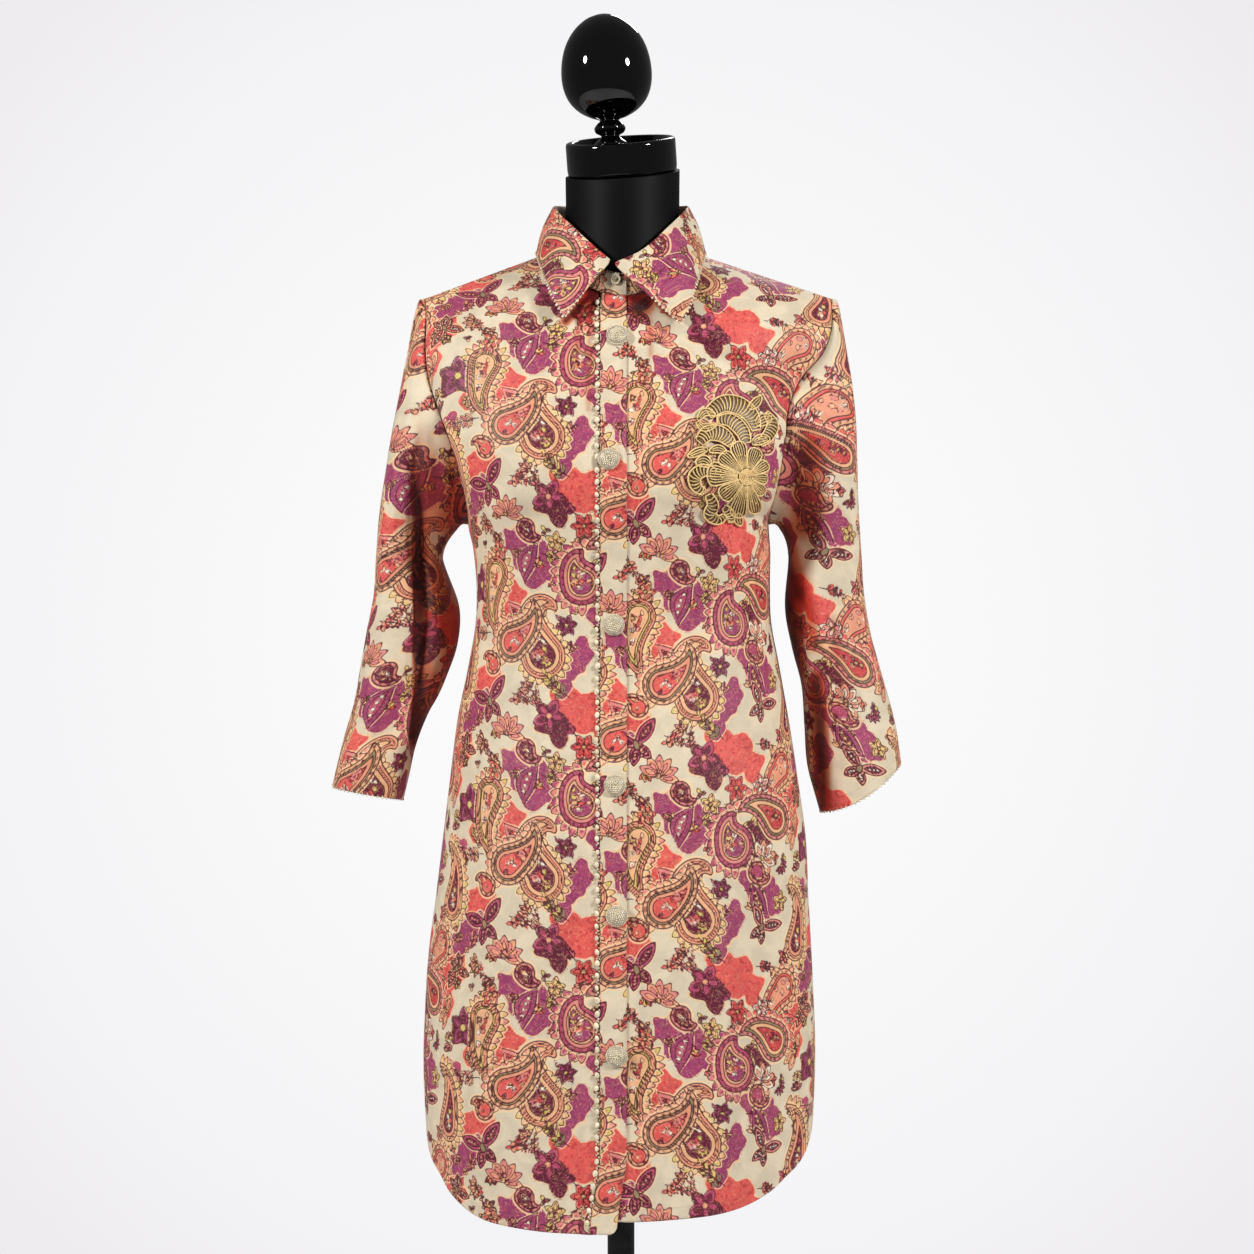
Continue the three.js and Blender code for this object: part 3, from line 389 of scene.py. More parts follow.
def sleeve_control(side):
    """The solid's own grid of a sleeve: seam, head, blend rows, then the rings down to the cuff."""
    table = SLEEVES[side]
    count = 2 * ARM_ROWS
    faces = [FRONT] * (ARM_ROWS + 1) + [BACK] * ARM_ROWS
    seam = np.array([armhole_point(side, face, min(j, count - j)) for j, face in enumerate(faces)])
    turn = np.arange(count + 1) / count
    inward, forward = np.cos(turn * 2 * math.pi), np.sin(turn * 2 * math.pi)
    rings = []
    for z, x, half, rise, sag in table:
        drop = (table[0][0] - z) / (table[0][0] - table[-1][0])
        depth = mix(SLEEVE_TOP_DEPTH, SLEEVE_CUFF_DEPTH, drop)
        lowered = rise / 2 * inward + sag * np.maximum(forward, 0) ** 2
        rings.append(stack(side * (x - half * inward), SLEEVE_Y - depth * forward, z - lowered))
    high = 1 - abs(np.arange(count + 1) - ARM_ROWS) / ARM_ROWS
    sign = np.sign(seam[:, 1])
    head = seam + SLEEVE_HEAD * unit(stack(side, sign * 0.15, -mix(-0.1, 0.5, high)))
    grid = [seam, head]
    reach = np.linalg.norm(rings[0] - head, axis=-1, keepdims=True)
    out_share = mix(0.75, 0.2, high**1.5)
    leave = stack(side * out_share, sign * 0.1, -np.sqrt(1 - out_share**2)) * reach
    arrive = unit(rings[1] - rings[0]) * reach
    for k in range(1, SLEEVE_BLEND_ROWS):
        grid.append(hermite(head, leave, rings[0], arrive, k / SLEEVE_BLEND_ROWS))
    grid += rings
    for ring in grid[2:]:
        outward = unit((ring - ring[1:].mean(axis=0)) * (1, 1, 0))
        push = np.zeros(count + 1)
        for place, width, out, low, high_z in SLEEVE_CREASES[side]:
            middle, reach_z = (low + high_z) / 2, (high_z - low) / 2
            fade = 1 - smoothstep(abs(ring[:, 2] - middle), reach_z * 0.6, reach_z * 1.2)
            push += out * fade * np.maximum(0, 1 - abs(turn - place) / width)
        ring += outward * push[:, None]
        ring[-1] = ring[0]
    return np.array(grid)


def neck_turns():
    """Places around the neckline in degrees, from the right front round the back to the left front."""
    rows = list(range(NECK_ROW, ARM_ROWS + 1))
    turns = [neck_turn(RIGHT, FRONT, row) for row in rows]
    turns += [neck_turn(RIGHT, BACK, row) for row in rows[-2::-1]]
    turns += [neck_turn(LEFT, BACK, row) for row in rows[1:]]
    return np.array(turns + [neck_turn(LEFT, FRONT, row) for row in rows[-2::-1]])


def stand_point(turn, share, index):
    """A point of the collar stand; the wearer's right end of it lies over the left one."""
    height = mix(STAND_FRONT, STAND_BACK, math.sin(abs(turn) % 360 / 180 * math.pi / 2))
    outward = outward_at(turn)
    over = (CAD_CLOTH + 0.45) * (1 - smoothstep(-turn, 14, 44)) if index < 4 else 0
    return neck_point(turn) + outward * (over - STAND_LEAN * share) + np.array([0, 0, height * share])


def stand_control():
    turns = [5, -5, *neck_turns()]
    return np.array([[stand_point(turn, share, i) for i, turn in enumerate(turns)] for share in (0, 0.5, 1)])


def collar_column(turn, index):
    """Up from the stand, over the fold and down to the free edge."""
    _, fold_z, edge_x, edge_y, edge_z = table_at(COLLAR, abs(turn))
    outward = outward_at(turn)
    up = np.array([0, 0, 1])
    near_front = 1 - smoothstep(abs(turn), 15, 60)
    fold = np.array([
        FOLD_HALF * outward[0] + near_front * COLLAR_MEETS[0 if index < COLLAR_MIDDLE else 1],
        FOLD_Y + FOLD_DEPTH * outward[1],
        fold_z,
    ])
    foot = stand_point(turn, 1, index + 2) - outward * CAD_CLOTH + up * 0.6
    inner = mix(foot, fold, 0.7) - outward * 0.6
    outer = fold + outward * 4.2 - up * 3.6
    edge_side = RIGHT if index < COLLAR_MIDDLE else LEFT
    spread = 6 * near_front if edge_side == LEFT else 0
    edge = np.array([edge_side * (edge_x + spread) if abs(turn) < 180 else 0, edge_y, edge_z])
    half = mix(outer, edge, 0.45) + outward * 2.2
    return [foot, inner, fold + outward * 1.4, outer, half, edge]


def collar_control():
    columns = [collar_column(turn, i) for i, turn in enumerate(neck_turns()[:-1])]
    return np.array(columns).transpose(1, 0, 2)


# Fine grids on the same forms


def lengths(points, axis):
    """Mean chord lengths along one axis of a grid of points, added up from zero."""
    return from_zero(steps_of(points, axis).mean(axis=1 - axis))


def even_places(keys, stops, cell):
    """Places evenly apart between the stops, with a multiple of COARSE in each stretch."""
    places = [np.array([keys[stops[0]]])]
    for a, b in zip(stops, stops[1:]):
        count = COARSE * max(1, round((keys[b] - keys[a]) / cell / COARSE))
        places.append(np.linspace(keys[a], keys[b], count + 1)[1:])
    return np.concatenate(places)


def refine(control, cell, row_stops=None, corner=None, phantoms=True, row_places=None):
    """A fine smooth grid on the control grid, and where its rows lie among the control rows. The first and
    last control columns only steer it where phantoms is true. At the corner row the first columns turn
    sharply."""
    row_keys = lengths(control, 0)
    numbers = np.arange(len(row_keys))
    if row_places is None:
        row_places = even_places(row_keys, row_stops or [0, len(control) - 1], cell)
    else:
        row_places = np.interp(row_places, numbers, row_keys)
    rows = spline(row_keys, control, row_places)
    if corner:
        below = spline(row_keys[: corner + 1], control[: corner + 1], row_places)
        above = spline(row_keys[corner:], control[corner:], row_places)
        sharp = np.where((row_places <= row_keys[corner])[:, None, None], below, above)
        weight = np.clip(1.25 - np.arange(control.shape[1]) / 4, 0, 1)
        rows = mix(rows, sharp, weight[None, :, None])
    column_keys = lengths(rows, 1)
    first, last = (1, control.shape[1] - 2) if phantoms else (0, control.shape[1] - 1)
    column_places = even_places(column_keys, [first, last], cell)
    grid = spline(column_keys, rows.transpose(1, 0, 2), column_places).transpose(1, 0, 2)
    return grid, np.interp(row_places, row_keys, numbers)


def normals_of(grid, closed=False, flip=False):
    """Unit normals of a grid, facing the side from which rows run up and columns to the right, or with flip
    the other side."""
    if closed:
        wrapped = np.concatenate([grid[:, -2:-1], grid, grid[:, 1:2]], axis=1)
        across = (wrapped[:, 2:] - wrapped[:, :-2]) / 2
    else:
        across = np.gradient(grid, axis=1)
    return unit(np.cross(across, np.gradient(grid, axis=0))) * (-1 if flip else 1)


def running(steps, axis, zero_at):
    total = np.cumsum(steps, axis=axis)
    total = np.insert(total, 0, 0, axis=axis)
    return total - np.take(total, [zero_at], axis=axis)


def panel_flat(grid, side, face, hip_row):
    """Where each point of a panel was on the flat cloth: across from the centre line, and up."""
    steps = np.diff(grid, axis=1)
    across = running(np.hypot(steps[..., 0], steps[..., 1]), 1, 0)
    across += abs(grid[:, :1, 0] - (FRONT_SEAM_X if face == FRONT else 0))
    steps = np.diff(grid, axis=0)
    up = HIP_Z + running(np.hypot(steps[..., 1], steps[..., 2]), 0, hip_row)
    return np.stack([side * across, up], axis=-1)


def plain_flat(grid):
    """Flat places of a strip, by its own lengths each way."""
    across = running(steps_of(grid, 1), 1, 0)
    up = running(steps_of(grid), 0, 0)
    return np.stack([across, up], axis=-1)


# The print: a repeat of paisleys, leaves and flowers on patches of colour

REPEAT_WIDE, REPEAT_HIGH = 218, 200
INK_HALF = 0.3
FAR = 9.0  # a point that no line reaches
FAR_FROM_EDGE = 99.0
GROOVE = 0.35


def linear(code):
    """A colour written as sRGB hex, in Blender's linear values."""
    values = np.array([int(code[i : i + 2], 16) for i in (0, 2, 4)]) / 255
    return np.where(values <= 0.04045, values / 12.92, ((values + 0.055) / 1.055) ** 2.4)


INKS = {
    name: linear(code)
    for name, code in {
        "cream": "DCD1B8",
        "coral": "E05A56",
        "deep_coral": "C83C42",
        "pink": "E08A84",
        "orchid": "963868",
        "rose": "B0426A",
        "plum": "620A32",
        "dark_plum": "4C0826",
        "peach": "EDB98E",
        "skin": "E8A080",
        "ochre": "DEC974",
        "olive": "8E8560",
        "white": "EFE4D0",
    }.items()
}


class Lines:
    """Drawn lines: at each point the signed distance across the nearest one, 0 on its middle, and how far
    off its edge lies. The sign lets a line run on crisply between points that lie on its two sides."""

    def __init__(self, count):
        self.across = np.full(count, FAR)
        self.off = np.full(count, FAR)

    def draw(self, index, distance, half):
        rim = index[(distance > 0) & (distance < 2)]
        sign = -1 if np.sign(self.across[rim]).sum() < 0 else 1
        off = abs(distance) - half
        closer = off < self.off[index]
        at = index[closer]
        self.across[at] = distance[closer] * sign * min(INK_HALF / half, 1.5)
        self.off[at] = off[closer]

    def clear(self, index):
        self.across[index] = FAR
        self.off[index] = FAR


class Print:
    """Colours and line distances of the print at flat places, painted motif by motif."""

    def __init__(self, u, v):
        self.u, self.v = u, v
        self.rgb = np.tile(INKS["cream"], (len(u), 1))
        self.ink, self.pale = Lines(len(u)), Lines(len(u))

    def near(self, x, y, turn, reach):
        """The points around a motif's copies, with their places in its own frame."""
        across = (self.u - x + REPEAT_WIDE / 2) % REPEAT_WIDE - REPEAT_WIDE / 2
        up = (self.v - y + REPEAT_HIGH / 2) % REPEAT_HIGH - REPEAT_HIGH / 2
        index = np.flatnonzero(across**2 + up**2 < reach**2)
        return index, *turned(across[index], up[index], turn)

    def fill(self, index, distance, colour):
        inside = index[distance < 0]
        self.rgb[inside] = INKS[colour]
        return inside

    def draw(self, index, distance, half, pale=False):
        (self.pale if pale else self.ink).draw(index, distance, half)

    def tint(self, index, distance, colour, half):
        """A filled and outlined shape that lets older lines show through."""
        self.fill(index, distance, colour)
        self.draw(index, distance, half)

    def shape(self, index, distance, colour, half=INK_HALF, pale=False):
        """A filled and outlined shape that hides what is under it."""
        inside = self.fill(index, distance, colour)
        self.ink.clear(inside)
        self.pale.clear(inside)
        self.draw(index, distance, half, pale)


def polar(degrees, reach):
    return math.cos(math.radians(degrees)) * reach, math.sin(math.radians(degrees)) * reach


def oval(x, y, at_x, at_y, turn, long, wide, point=0.0):
    """Signed distance to an oval from its middle; with point it narrows towards both ends like a leaf."""
    along, aside = turned(x - at_x, y - at_y, turn)
    width = wide * np.maximum(1 - point * (along / long) ** 2, 0.15)
    return (np.sqrt((along / long) ** 2 + (aside / width) ** 2) - 1) * min(long, wide)


def strand(x, y, points):
    """Signed distance to a line through points."""
    best = np.full(x.shape, 1e3)
    for (ax, ay), (bx, by) in zip(points, points[1:]):
        dx, dy = bx - ax, by - ay
        t = np.clip(((x - ax) * dx + (y - ay) * dy) / (dx * dx + dy * dy), 0, 1)
        gap = np.hypot(x - ax - t * dx, y - ay - t * dy)
        gap = np.where((x - ax) * dy < (y - ay) * dx, -gap, gap)
        best = np.where(abs(gap) < abs(best), gap, best)
    return best


def line_keys(points):
    """How far along a flat line each of its points lies."""
    return from_zero(np.hypot(*np.diff(points, axis=0).T))


STEPS = 30


class Drop:
    """A curled drop: circles along a bending spine of so many steps, which start at the round end."""

    def __init__(self, long, wide, start, curl, late=1.8, slim=0.85):
        t = np.linspace(0, 1, STEPS)
        heading = np.radians(start + curl * t**late)
        step = (long - wide) / (STEPS - 1)
        self.x = from_zero(np.cos(heading[:-1]) * step)
        self.y = from_zero(np.sin(heading[:-1]) * step)
        self.radius = wide / 2 * (1 - t) ** slim + 0.6
        self.heading = heading
        self.reach = self.y.max() + wide

    def distance(self, x, y):
        best = np.full(x.shape, 1e3)
        for cx, cy, r in zip(self.x, self.y, self.radius):
            best = np.minimum(best, np.hypot(x - cx, y - cy) - r)
        return best

    def border(self, out, pitch):
        """Places and outward directions around the drop, out from its edge, pitch apart."""
        r = self.radius + out
        sides = []
        for aim in (self.heading + math.pi / 2, self.heading - math.pi / 2):
            sides.append(np.column_stack([self.x + np.cos(aim) * r, self.y + np.sin(aim) * r, aim]))
        end = [(math.cos(a) * r[0], math.sin(a) * r[0], a) for a in np.linspace(math.pi, 2 * math.pi, 24)]
        path = np.concatenate([sides[0][::-1], end[1:-1], sides[1]])
        keys = line_keys(path[:, :2])
        path[:, 2] = np.unwrap(path[:, 2])
        count = max(2, int(keys[-1] / pitch))
        return rows_at((np.arange(count) + 0.5) * keys[-1] / count, keys, path)


DARKER = {"coral": "deep_coral", "orchid": "rose", "plum": "dark_plum", "rose": "orchid"}
WOBBLE = 2.3


def paint_patch(cloth, x, y, circles, colour, seed):
    """A patch of colour with a wandering edge, from circles (x, y, radius) around its own middle."""
    reach = max(math.hypot(cx, cy) + r for cx, cy, r in circles) + 12
    index, px, py = cloth.near(x, y, 0, reach)
    bend_x = WOBBLE * (np.sin(px / 5.3 + py / 9.1 + seed) + 0.6 * np.sin(py / 3.1 - px / 7.7 + 2 * seed))
    bend_y = WOBBLE * (np.sin(py / 4.9 - px / 8.3 + 3 * seed) + 0.6 * np.sin(px / 2.9 + py / 6.1 + seed))
    best = np.full(px.shape, 1e3)
    for cx, cy, r in circles:
        best = np.minimum(best, np.hypot(px + bend_x - cx, py + bend_y - cy) - r)
    cloth.shape(index, best, colour, 0.5, pale=True)
    veins = np.sin(px / 2.6 + bend_y * 1.4 + seed) * np.sin(py / 3.1 + bend_x * 1.7 - seed)
    cloth.fill(index, np.maximum(best + 1.5, 0.55 - veins), DARKER[colour])


LEAF_BUDS = 4


def paint_leaf(cloth, x, y, turn, long, wide, colours):
    """A wide bent leaf with a pale and a dark outline and a row of buds along its middle."""
    index, px, py = cloth.near(x, y, turn, long + 5)
    bent = py + 0.015 * px * px
    leaf = oval(px, bent, 0, 0, 0, long, wide, 0.85)
    cloth.draw(index, leaf - 1.6, 0.5, pale=True)
    cloth.shape(index, leaf, colours[0], 0.4)
    cloth.tint(index, oval(px, bent, 0, 0, 0, long * 0.72, wide * 0.52, 0.8), colours[1], 0.35)
    for k in range(LEAF_BUDS):
        along = (k + 0.5 - LEAF_BUDS / 2) * long * 1.1 / LEAF_BUDS
        cloth.tint(index, np.hypot(px - along, bent) - 1.7, colours[2], 0.15)


def paint_seeds(cloth, index, x, y, drop, region, depth, rng, count, sizes, colours):
    """Small outlined dots, buds and florets inside a drop, where region is negative."""
    room = np.maximum(drop.radius - depth, 0)
    chance = (room + 0.3) ** 1.5 / ((room + 0.3) ** 1.5).sum()
    for k in range(count):
        at = rng.choice(STEPS, p=chance)
        aim, away = rng.uniform(0, 2 * math.pi), room[at] * math.sqrt(rng.uniform())
        cx, cy = drop.x[at] + math.cos(aim) * away, drop.y[at] + math.sin(aim) * away
        long = rng.uniform(*sizes)
        colour = colours[rng.integers(len(colours))]
        if k % 3 == 0:
            reach = np.hypot(x - cx, y - cy)
            bud = reach - long * (1 + 0.3 * np.cos(5 * np.arctan2(y - cy, x - cx) + k))
            cloth.shape(index, np.maximum(bud, region + 0.6), colour, 0.12)
            heart = "ochre" if colour == "plum" else "plum"
            cloth.fill(index, np.maximum(reach - long * 0.4, region + 0.6), heart)
            continue
        bud = oval(x, y, cx, cy, rng.uniform(0, 180), long, long * rng.uniform(0.4, 0.7), 0.4)
        cloth.shape(index, np.maximum(bud, region + 0.6), colour, 0.12)


def paint_petals(cloth, index, x, y, drop, rng, length, width, colours, first, last, pitch):
    """Petals around a part of a drop, from the share first of the way around it to last."""
    spots = drop.border(length * 0.35, pitch)
    chosen = spots[int(first * len(spots)) : int(last * len(spots))]
    for k, (sx, sy, aim) in enumerate(chosen):
        lean = math.degrees(aim) + rng.uniform(-10, 10)
        size = length * rng.uniform(0.85, 1.15)
        cloth.shape(index, oval(x, y, sx, sy, lean, size, width, 0.35), colours[k % len(colours)], 0.28)
        core = oval(x, y, sx, sy, lean, size * 0.5, width * 0.4, 0.4)
        cloth.fill(index, core, colours[(k + 1) % len(colours)])
        cloth.draw(index, oval(x, y, sx, sy, lean, size + 1.2, width + 1.2, 0.35), 0.5, pale=True)


def paint_paisley(cloth, x, y, turn, drop, bands, petals, seed, field, dashed=True):
    """bands are (depth from the edge, colour). field is what fills the heart: the depth at which it starts,
    and the number, colours and sizes of its seeds."""
    index, px, py = cloth.near(x, y, turn, drop.reach + 22)
    rng = np.random.default_rng(seed)
    distance = drop.distance(px, py)
    if petals:
        paint_petals(cloth, index, px, py, drop, rng, *petals)
    cloth.shape(index, distance, bands[0][1], 0.5)
    cloth.draw(index, distance - 1.7, 0.75, pale=True)
    for depth, colour in bands[1:]:
        cloth.tint(index, distance + depth, colour, 0.42)
    half_band = bands[1][0] / 2
    if dashed:
        for sx, sy, aim in drop.border(-half_band, 6.4):
            lean = math.degrees(aim) + 90 + rng.uniform(-25, 25)
            cloth.fill(index, oval(px, py, sx, sy, lean, 1.8, 0.9), "plum")
    else:
        cloth.draw(index, distance + half_band, 0.25)
    depth, count, colours, sizes = field
    paint_seeds(cloth, index, px, py, drop, distance + depth, depth, rng, count, sizes, colours)


def paint_flower(cloth, x, y, turn, petals, long, wide, colours, heart="plum", spread=360, ribs=True):
    """Petals around a heart, over the whole turn or a fan."""
    index, px, py = cloth.near(x, y, turn, long * 2 + 6)
    first = 0 if spread == 360 else 90 - spread / 2 + spread / petals / 2
    for k in range(petals):
        aim = spread * k / petals + first
        cx, cy = polar(aim, long)
        cloth.shape(index, oval(px, py, cx, cy, aim, long, wide, 0.3), colours[k % len(colours)])
        if ribs:
            inner = oval(px, py, cx * 0.9, cy * 0.9, aim, long * 0.62, wide * 0.5, 0.5)
            cloth.tint(index, inner, colours[(k + 1) % len(colours)], 0.15)
    core = np.hypot(px, py) - wide * 0.55
    cloth.shape(index, core, heart)
    cloth.fill(index, core + wide * 0.3, "ochre")


def paint_spray(cloth, x, y, turn, leaves, long, wide, pitch, colours):
    """Leaves in pairs along a bent stem."""
    index, px, py = cloth.near(x, y, turn, leaves * pitch + long * 2 + 6)
    bent = px - 0.012 * py * abs(py)
    cloth.draw(index, strand(bent, py, [(0, -pitch), (0, leaves * pitch)]), 0.45)
    for k in range(leaves):
        size = 1 - 0.45 * k / leaves
        foot = k * pitch
        for aim in (138, 42):
            cx, cy = polar(aim, long)
            cx, cy = cx * size, foot + cy * size
            leaf = oval(bent, py, cx, cy, aim, long * size, wide * size, 0.5)
            cloth.shape(index, leaf, colours[k % len(colours)], 0.25)
            vein = strand(bent, py, [(0, foot), (cx * 1.6, foot + (cy - foot) * 1.6)])
            cloth.draw(index[leaf < 0], vein[leaf < 0], 0.25)
    tip = oval(bent, py, 0, leaves * pitch + long * 0.5, 90, long * 0.7, wide * 0.6, 0.4)
    cloth.shape(index, tip, colours[-1], 0.25)


# Direction, length and width of each wing.
WINGS = ((35, 1.0, 0.42), (145, 0.9, 0.4), (-62, 0.62, 0.34), (-118, 0.66, 0.34))


def paint_butterfly(cloth, x, y, turn, size, colours):
    """Four spotted wings around a small body."""
    index, px, py = cloth.near(x, y, turn, size * 2.2)
    for aim, long, wide in WINGS:
        cx, cy = (part * size * 0.62 for part in polar(aim, long))
        wing = oval(px, py, cx, cy, aim, long * size * 0.62, wide * size * 0.62, 0.35)
        cloth.shape(index, wing, colours[0], 0.45)
        cloth.draw(index, wing - 1.3, 0.4, pale=True)
        inner = oval(px, py, cx, cy, aim, long * size * 0.42, wide * size * 0.36, 0.4)
        cloth.shape(index, inner, colours[1])
        for share in (-0.25, 0.05, 0.33):
            dot = np.hypot(px - cx * (1 + share), py - cy * (1 + share)) - size * 0.07
            cloth.tint(index, dot, colours[2], 0.3)
    cloth.shape(index, oval(px, py, 0, 0, 90, size * 0.2, size * 0.1), "olive")


def paint_fillers(cloth, rng, count):
    """Small sprays, florets and buds, which show between the large motifs."""
    tints = ["peach", "pink", "ochre", "coral", "peach", "skin", "rose", "plum"]
    for k in range(count):
        x, y, turn = rng.uniform(0, REPEAT_WIDE), rng.uniform(0, REPEAT_HIGH), rng.uniform(0, 360)
        pair = [tints[i] for i in rng.integers(len(tints), size=2)]
        kind = k % 5
        place = (cloth, x, y, turn)
        if kind == 0:
            paint_spray(*place, 3, rng.uniform(3, 4.5), 1.9, 4.8, pair)
        elif kind == 1:
            paint_flower(*place, 5, rng.uniform(2.8, 4.4), 2.3, pair)
        elif kind == 2:
            paint_flower(*place, 5, rng.uniform(4, 6), 2.2, pair, "olive", 170)
        elif kind == 3:
            paint_flower(*place, 7, rng.uniform(3.4, 5), 1.5, pair, "coral", 230, ribs=False)
        else:
            paint_flower(*place, 3, rng.uniform(1.8, 3), 1.7, pair, ribs=False)


# Patches under the motifs: middle, circles around it (x, y, radius), colour.
PATCHES = [
    (48, 136, [(0, 0, 24), (24, 8, 17), (-24, -11, 17), (9, -23, 14)], "coral"),
    (130, 62, [(0, 0, 23), (-24, 11, 17), (24, -12, 17), (6, 22, 14)], "coral"),
    (206, 178, [(0, 0, 20), (-18, 11, 15), (15, -11, 15)], "coral"),
    (98, 4, [(0, 0, 15), (15, 8, 12)], "coral"),
    (12, 60, [(0, 0, 19), (15, -15, 15), (-15, 13, 15)], "orchid"),
    (154, 122, [(0, 0, 20), (20, -8, 15), (-14, 13, 14), (2, -18, 12)], "orchid"),
    (88, 176, [(0, 0, 15), (14, 9, 13), (-12, -8, 12)], "orchid"),
    (190, 22, [(0, 0, 16), (-8, -15, 13), (12, 11, 13)], "orchid"),
    (88, 92, [(0, 0, 14), (13, 8, 11), (-11, -7, 10)], "plum"),
    (170, 168, [(0, 0, 13), (11, -9, 11)], "plum"),
    (4, 108, [(0, 0, 11), (9, -8, 9)], "plum"),
    (204, 86, [(0, 0, 13), (-12, 6, 11)], "rose"),
    (66, 58, [(0, 0, 10), (10, -6, 9)], "rose"),
]


WARM = ("coral", "ochre", "peach", "pink", "white", "peach")
COOL = ("plum", "white", "pink", "deep_coral", "peach")
HOOKED = Drop(112, 40, 116, -205, 2.4, 0.7)
CROOK = Drop(88, 32, 66, 190, 2.2, 0.72)
SLIM = Drop(92, 30, 80, 95, 2.0, 0.8)
BROAD = Drop(84, 35, 82, 88, 1.9, 0.8)
FULL = Drop(72, 38, 98, -110, 1.7, 0.8)
SMALL = Drop(36, 17, 90, 120, 1.6)

# Motifs in the order of painting. Each is its painter and what it is called with: x, y, turn and so on.
MOTIFS = [
    (paint_flower, 86, 94, 15, 5, 9.5, 6.2, ("plum", "orchid"), "ochre"),
    (paint_flower, 106, 80, 40, 5, 6.5, 4.2, ("orchid", "pink"), "ochre"),
    (paint_flower, 172, 176, -10, 5, 8, 5.2, ("plum", "rose"), "pink"),
    (paint_flower, 60, 106, 70, 6, 9, 3.8, ("peach", "skin"), "plum", 210),
    (paint_flower, 14, 84, -60, 6, 8.5, 3.8, ("skin", "white"), "plum", 210),
    (paint_flower, 130, 160, -20, 6, 9.5, 4.2, ("skin", "pink"), "plum", 200),
    (paint_leaf, 150, 116, 70, 20, 9, ("orchid", "rose", "white")),
    (paint_leaf, 10, 46, 120, 18, 8, ("orchid", "plum", "peach")),
    (paint_leaf, 44, 134, 20, 19, 8.5, ("coral", "pink", "olive")),
    (paint_leaf, 142, 66, 150, 18, 8, ("pink", "coral", "plum")),
    (paint_paisley, 62, 4, -6, SLIM, [(0, "peach"), (4.4, "skin"), (8, "plum")],
     (6.5, 2.9, ("ochre", "peach", "skin"), 0.4, 1.0, 6.2), 3, (9, 9, WARM, (2.2, 3.4)), False),
    (paint_paisley, 112, 104, 172, SLIM, [(0, "skin"), (4.4, "ochre"), (6.4, "peach")],
     (6, 2.8, ("peach", "ochre", "pink"), 0.0, 0.62, 6.2), 4, (8, 12, COOL, (2.2, 3.4)), False),
    (paint_paisley, 166, 30, 4, HOOKED, [(0, "skin"), (5, "peach"), (9, "plum")],
     (4.6, 3.2, ("ochre", "peach"), 0.5, 0.98, 7), 5, (9.5, 14, WARM, (2.4, 4)), False),
    (paint_paisley, 44, 166, 150, CROOK, [(0, "peach"), (4, "coral"), (6.8, "skin")],
     (4.4, 3, ("peach", "coral"), 0.0, 0.6, 7), 6, (8, 10, COOL, (2.2, 3.6))),
    (paint_paisley, 32, 118, 58, BROAD, [(0, "pink"), (3.4, "olive"), (5.8, "peach"), (9.4, "deep_coral")],
     (5.8, 4, ("coral", "pink"), 0.48, 1.0, 7.4), 7, (11, 7, COOL, (2, 3))),
    (paint_paisley, 134, 42, -52, BROAD, [(0, "peach"), (3.4, "olive"), (5.6, "skin"), (9, "coral")],
     (5.4, 3.4, ("pink", "skin"), 0.0, 0.5, 7), 8, (8, 12, COOL, (2, 3.2))),
    (paint_paisley, 202, 96, 28, FULL, [(0, "rose"), (3.6, "pink"), (7, "peach"), (9.5, "orchid")],
     (7, 3.8, ("pink", "rose"), 0.0, 0.55, 7.4), 9, (9, 14, WARM, (2.2, 3.4))),
    (paint_butterfly, 110, 188, 20, 23, ("rose", "plum", "pink")),
    (paint_butterfly, 16, 22, -30, 20, ("pink", "plum", "white")),
    (paint_butterfly, 74, 146, 200, 17, ("skin", "deep_coral", "white")),
    (paint_flower, 204, 148, 0, 6, 6, 3.4, ("coral", "deep_coral"), "olive"),
    (paint_flower, 118, 126, 0, 6, 5, 3, ("coral", "peach"), "olive"),
    (paint_flower, 14, 150, 30, 5, 5, 3, ("white", "pink")),
    (paint_flower, 178, 134, 10, 5, 5, 3, ("ochre", "peach")),
    (paint_flower, 38, 44, 10, 5, 5, 3, ("peach", "ochre")),
    (paint_flower, 188, 58, 10, 6, 5, 3, ("plum", "orchid"), "ochre"),
    (paint_paisley, 112, 22, 30, SMALL, [(0, "peach"), (2.8, "coral")], None, 12, (3.5, 4, WARM, (1.6, 2.4))),
    (paint_paisley, 150, 146, 200, SMALL, [(0, "pink"), (2.8, "plum")], None, 13, (3.5, 4, WARM, (1.6, 2.4))),
    (paint_paisley, 8, 72, -150, SMALL, [(0, "skin"), (2.8, "rose")], None, 14, (3.5, 4, WARM, (1.6, 2.4))),
    (paint_spray, 100, 50, 100, 4, 4.8, 2.3, 6, ("peach", "pink")),
    (paint_spray, 186, 196, 60, 4, 4.8, 2.3, 6, ("olive", "ochre")),
]
FILLERS = 66


def paint_print(u, v):
    cloth = Print(u, v)
    for number, patch in enumerate(PATCHES):
        paint_patch(cloth, *patch, seed=2 * number + 1)
    paint_fillers(cloth, np.random.default_rng(21), FILLERS)
    for paint, *motif in MOTIFS:
        paint(cloth, *motif)
    return cloth


# Meshes


def set_attribute(obj, name, values):
    """Stores one number, colour or vector for each point."""
    values = np.asarray(values, np.float32)
    wide = 1 if values.ndim == 1 else values.shape[1]
    kind, field = {1: ("FLOAT", "value"), 3: ("FLOAT_VECTOR", "vector"), 4: ("FLOAT_COLOR", "color")}[wide]
    obj.data.attributes.new(name, kind, "POINT").data.foreach_set(field, values.ravel())


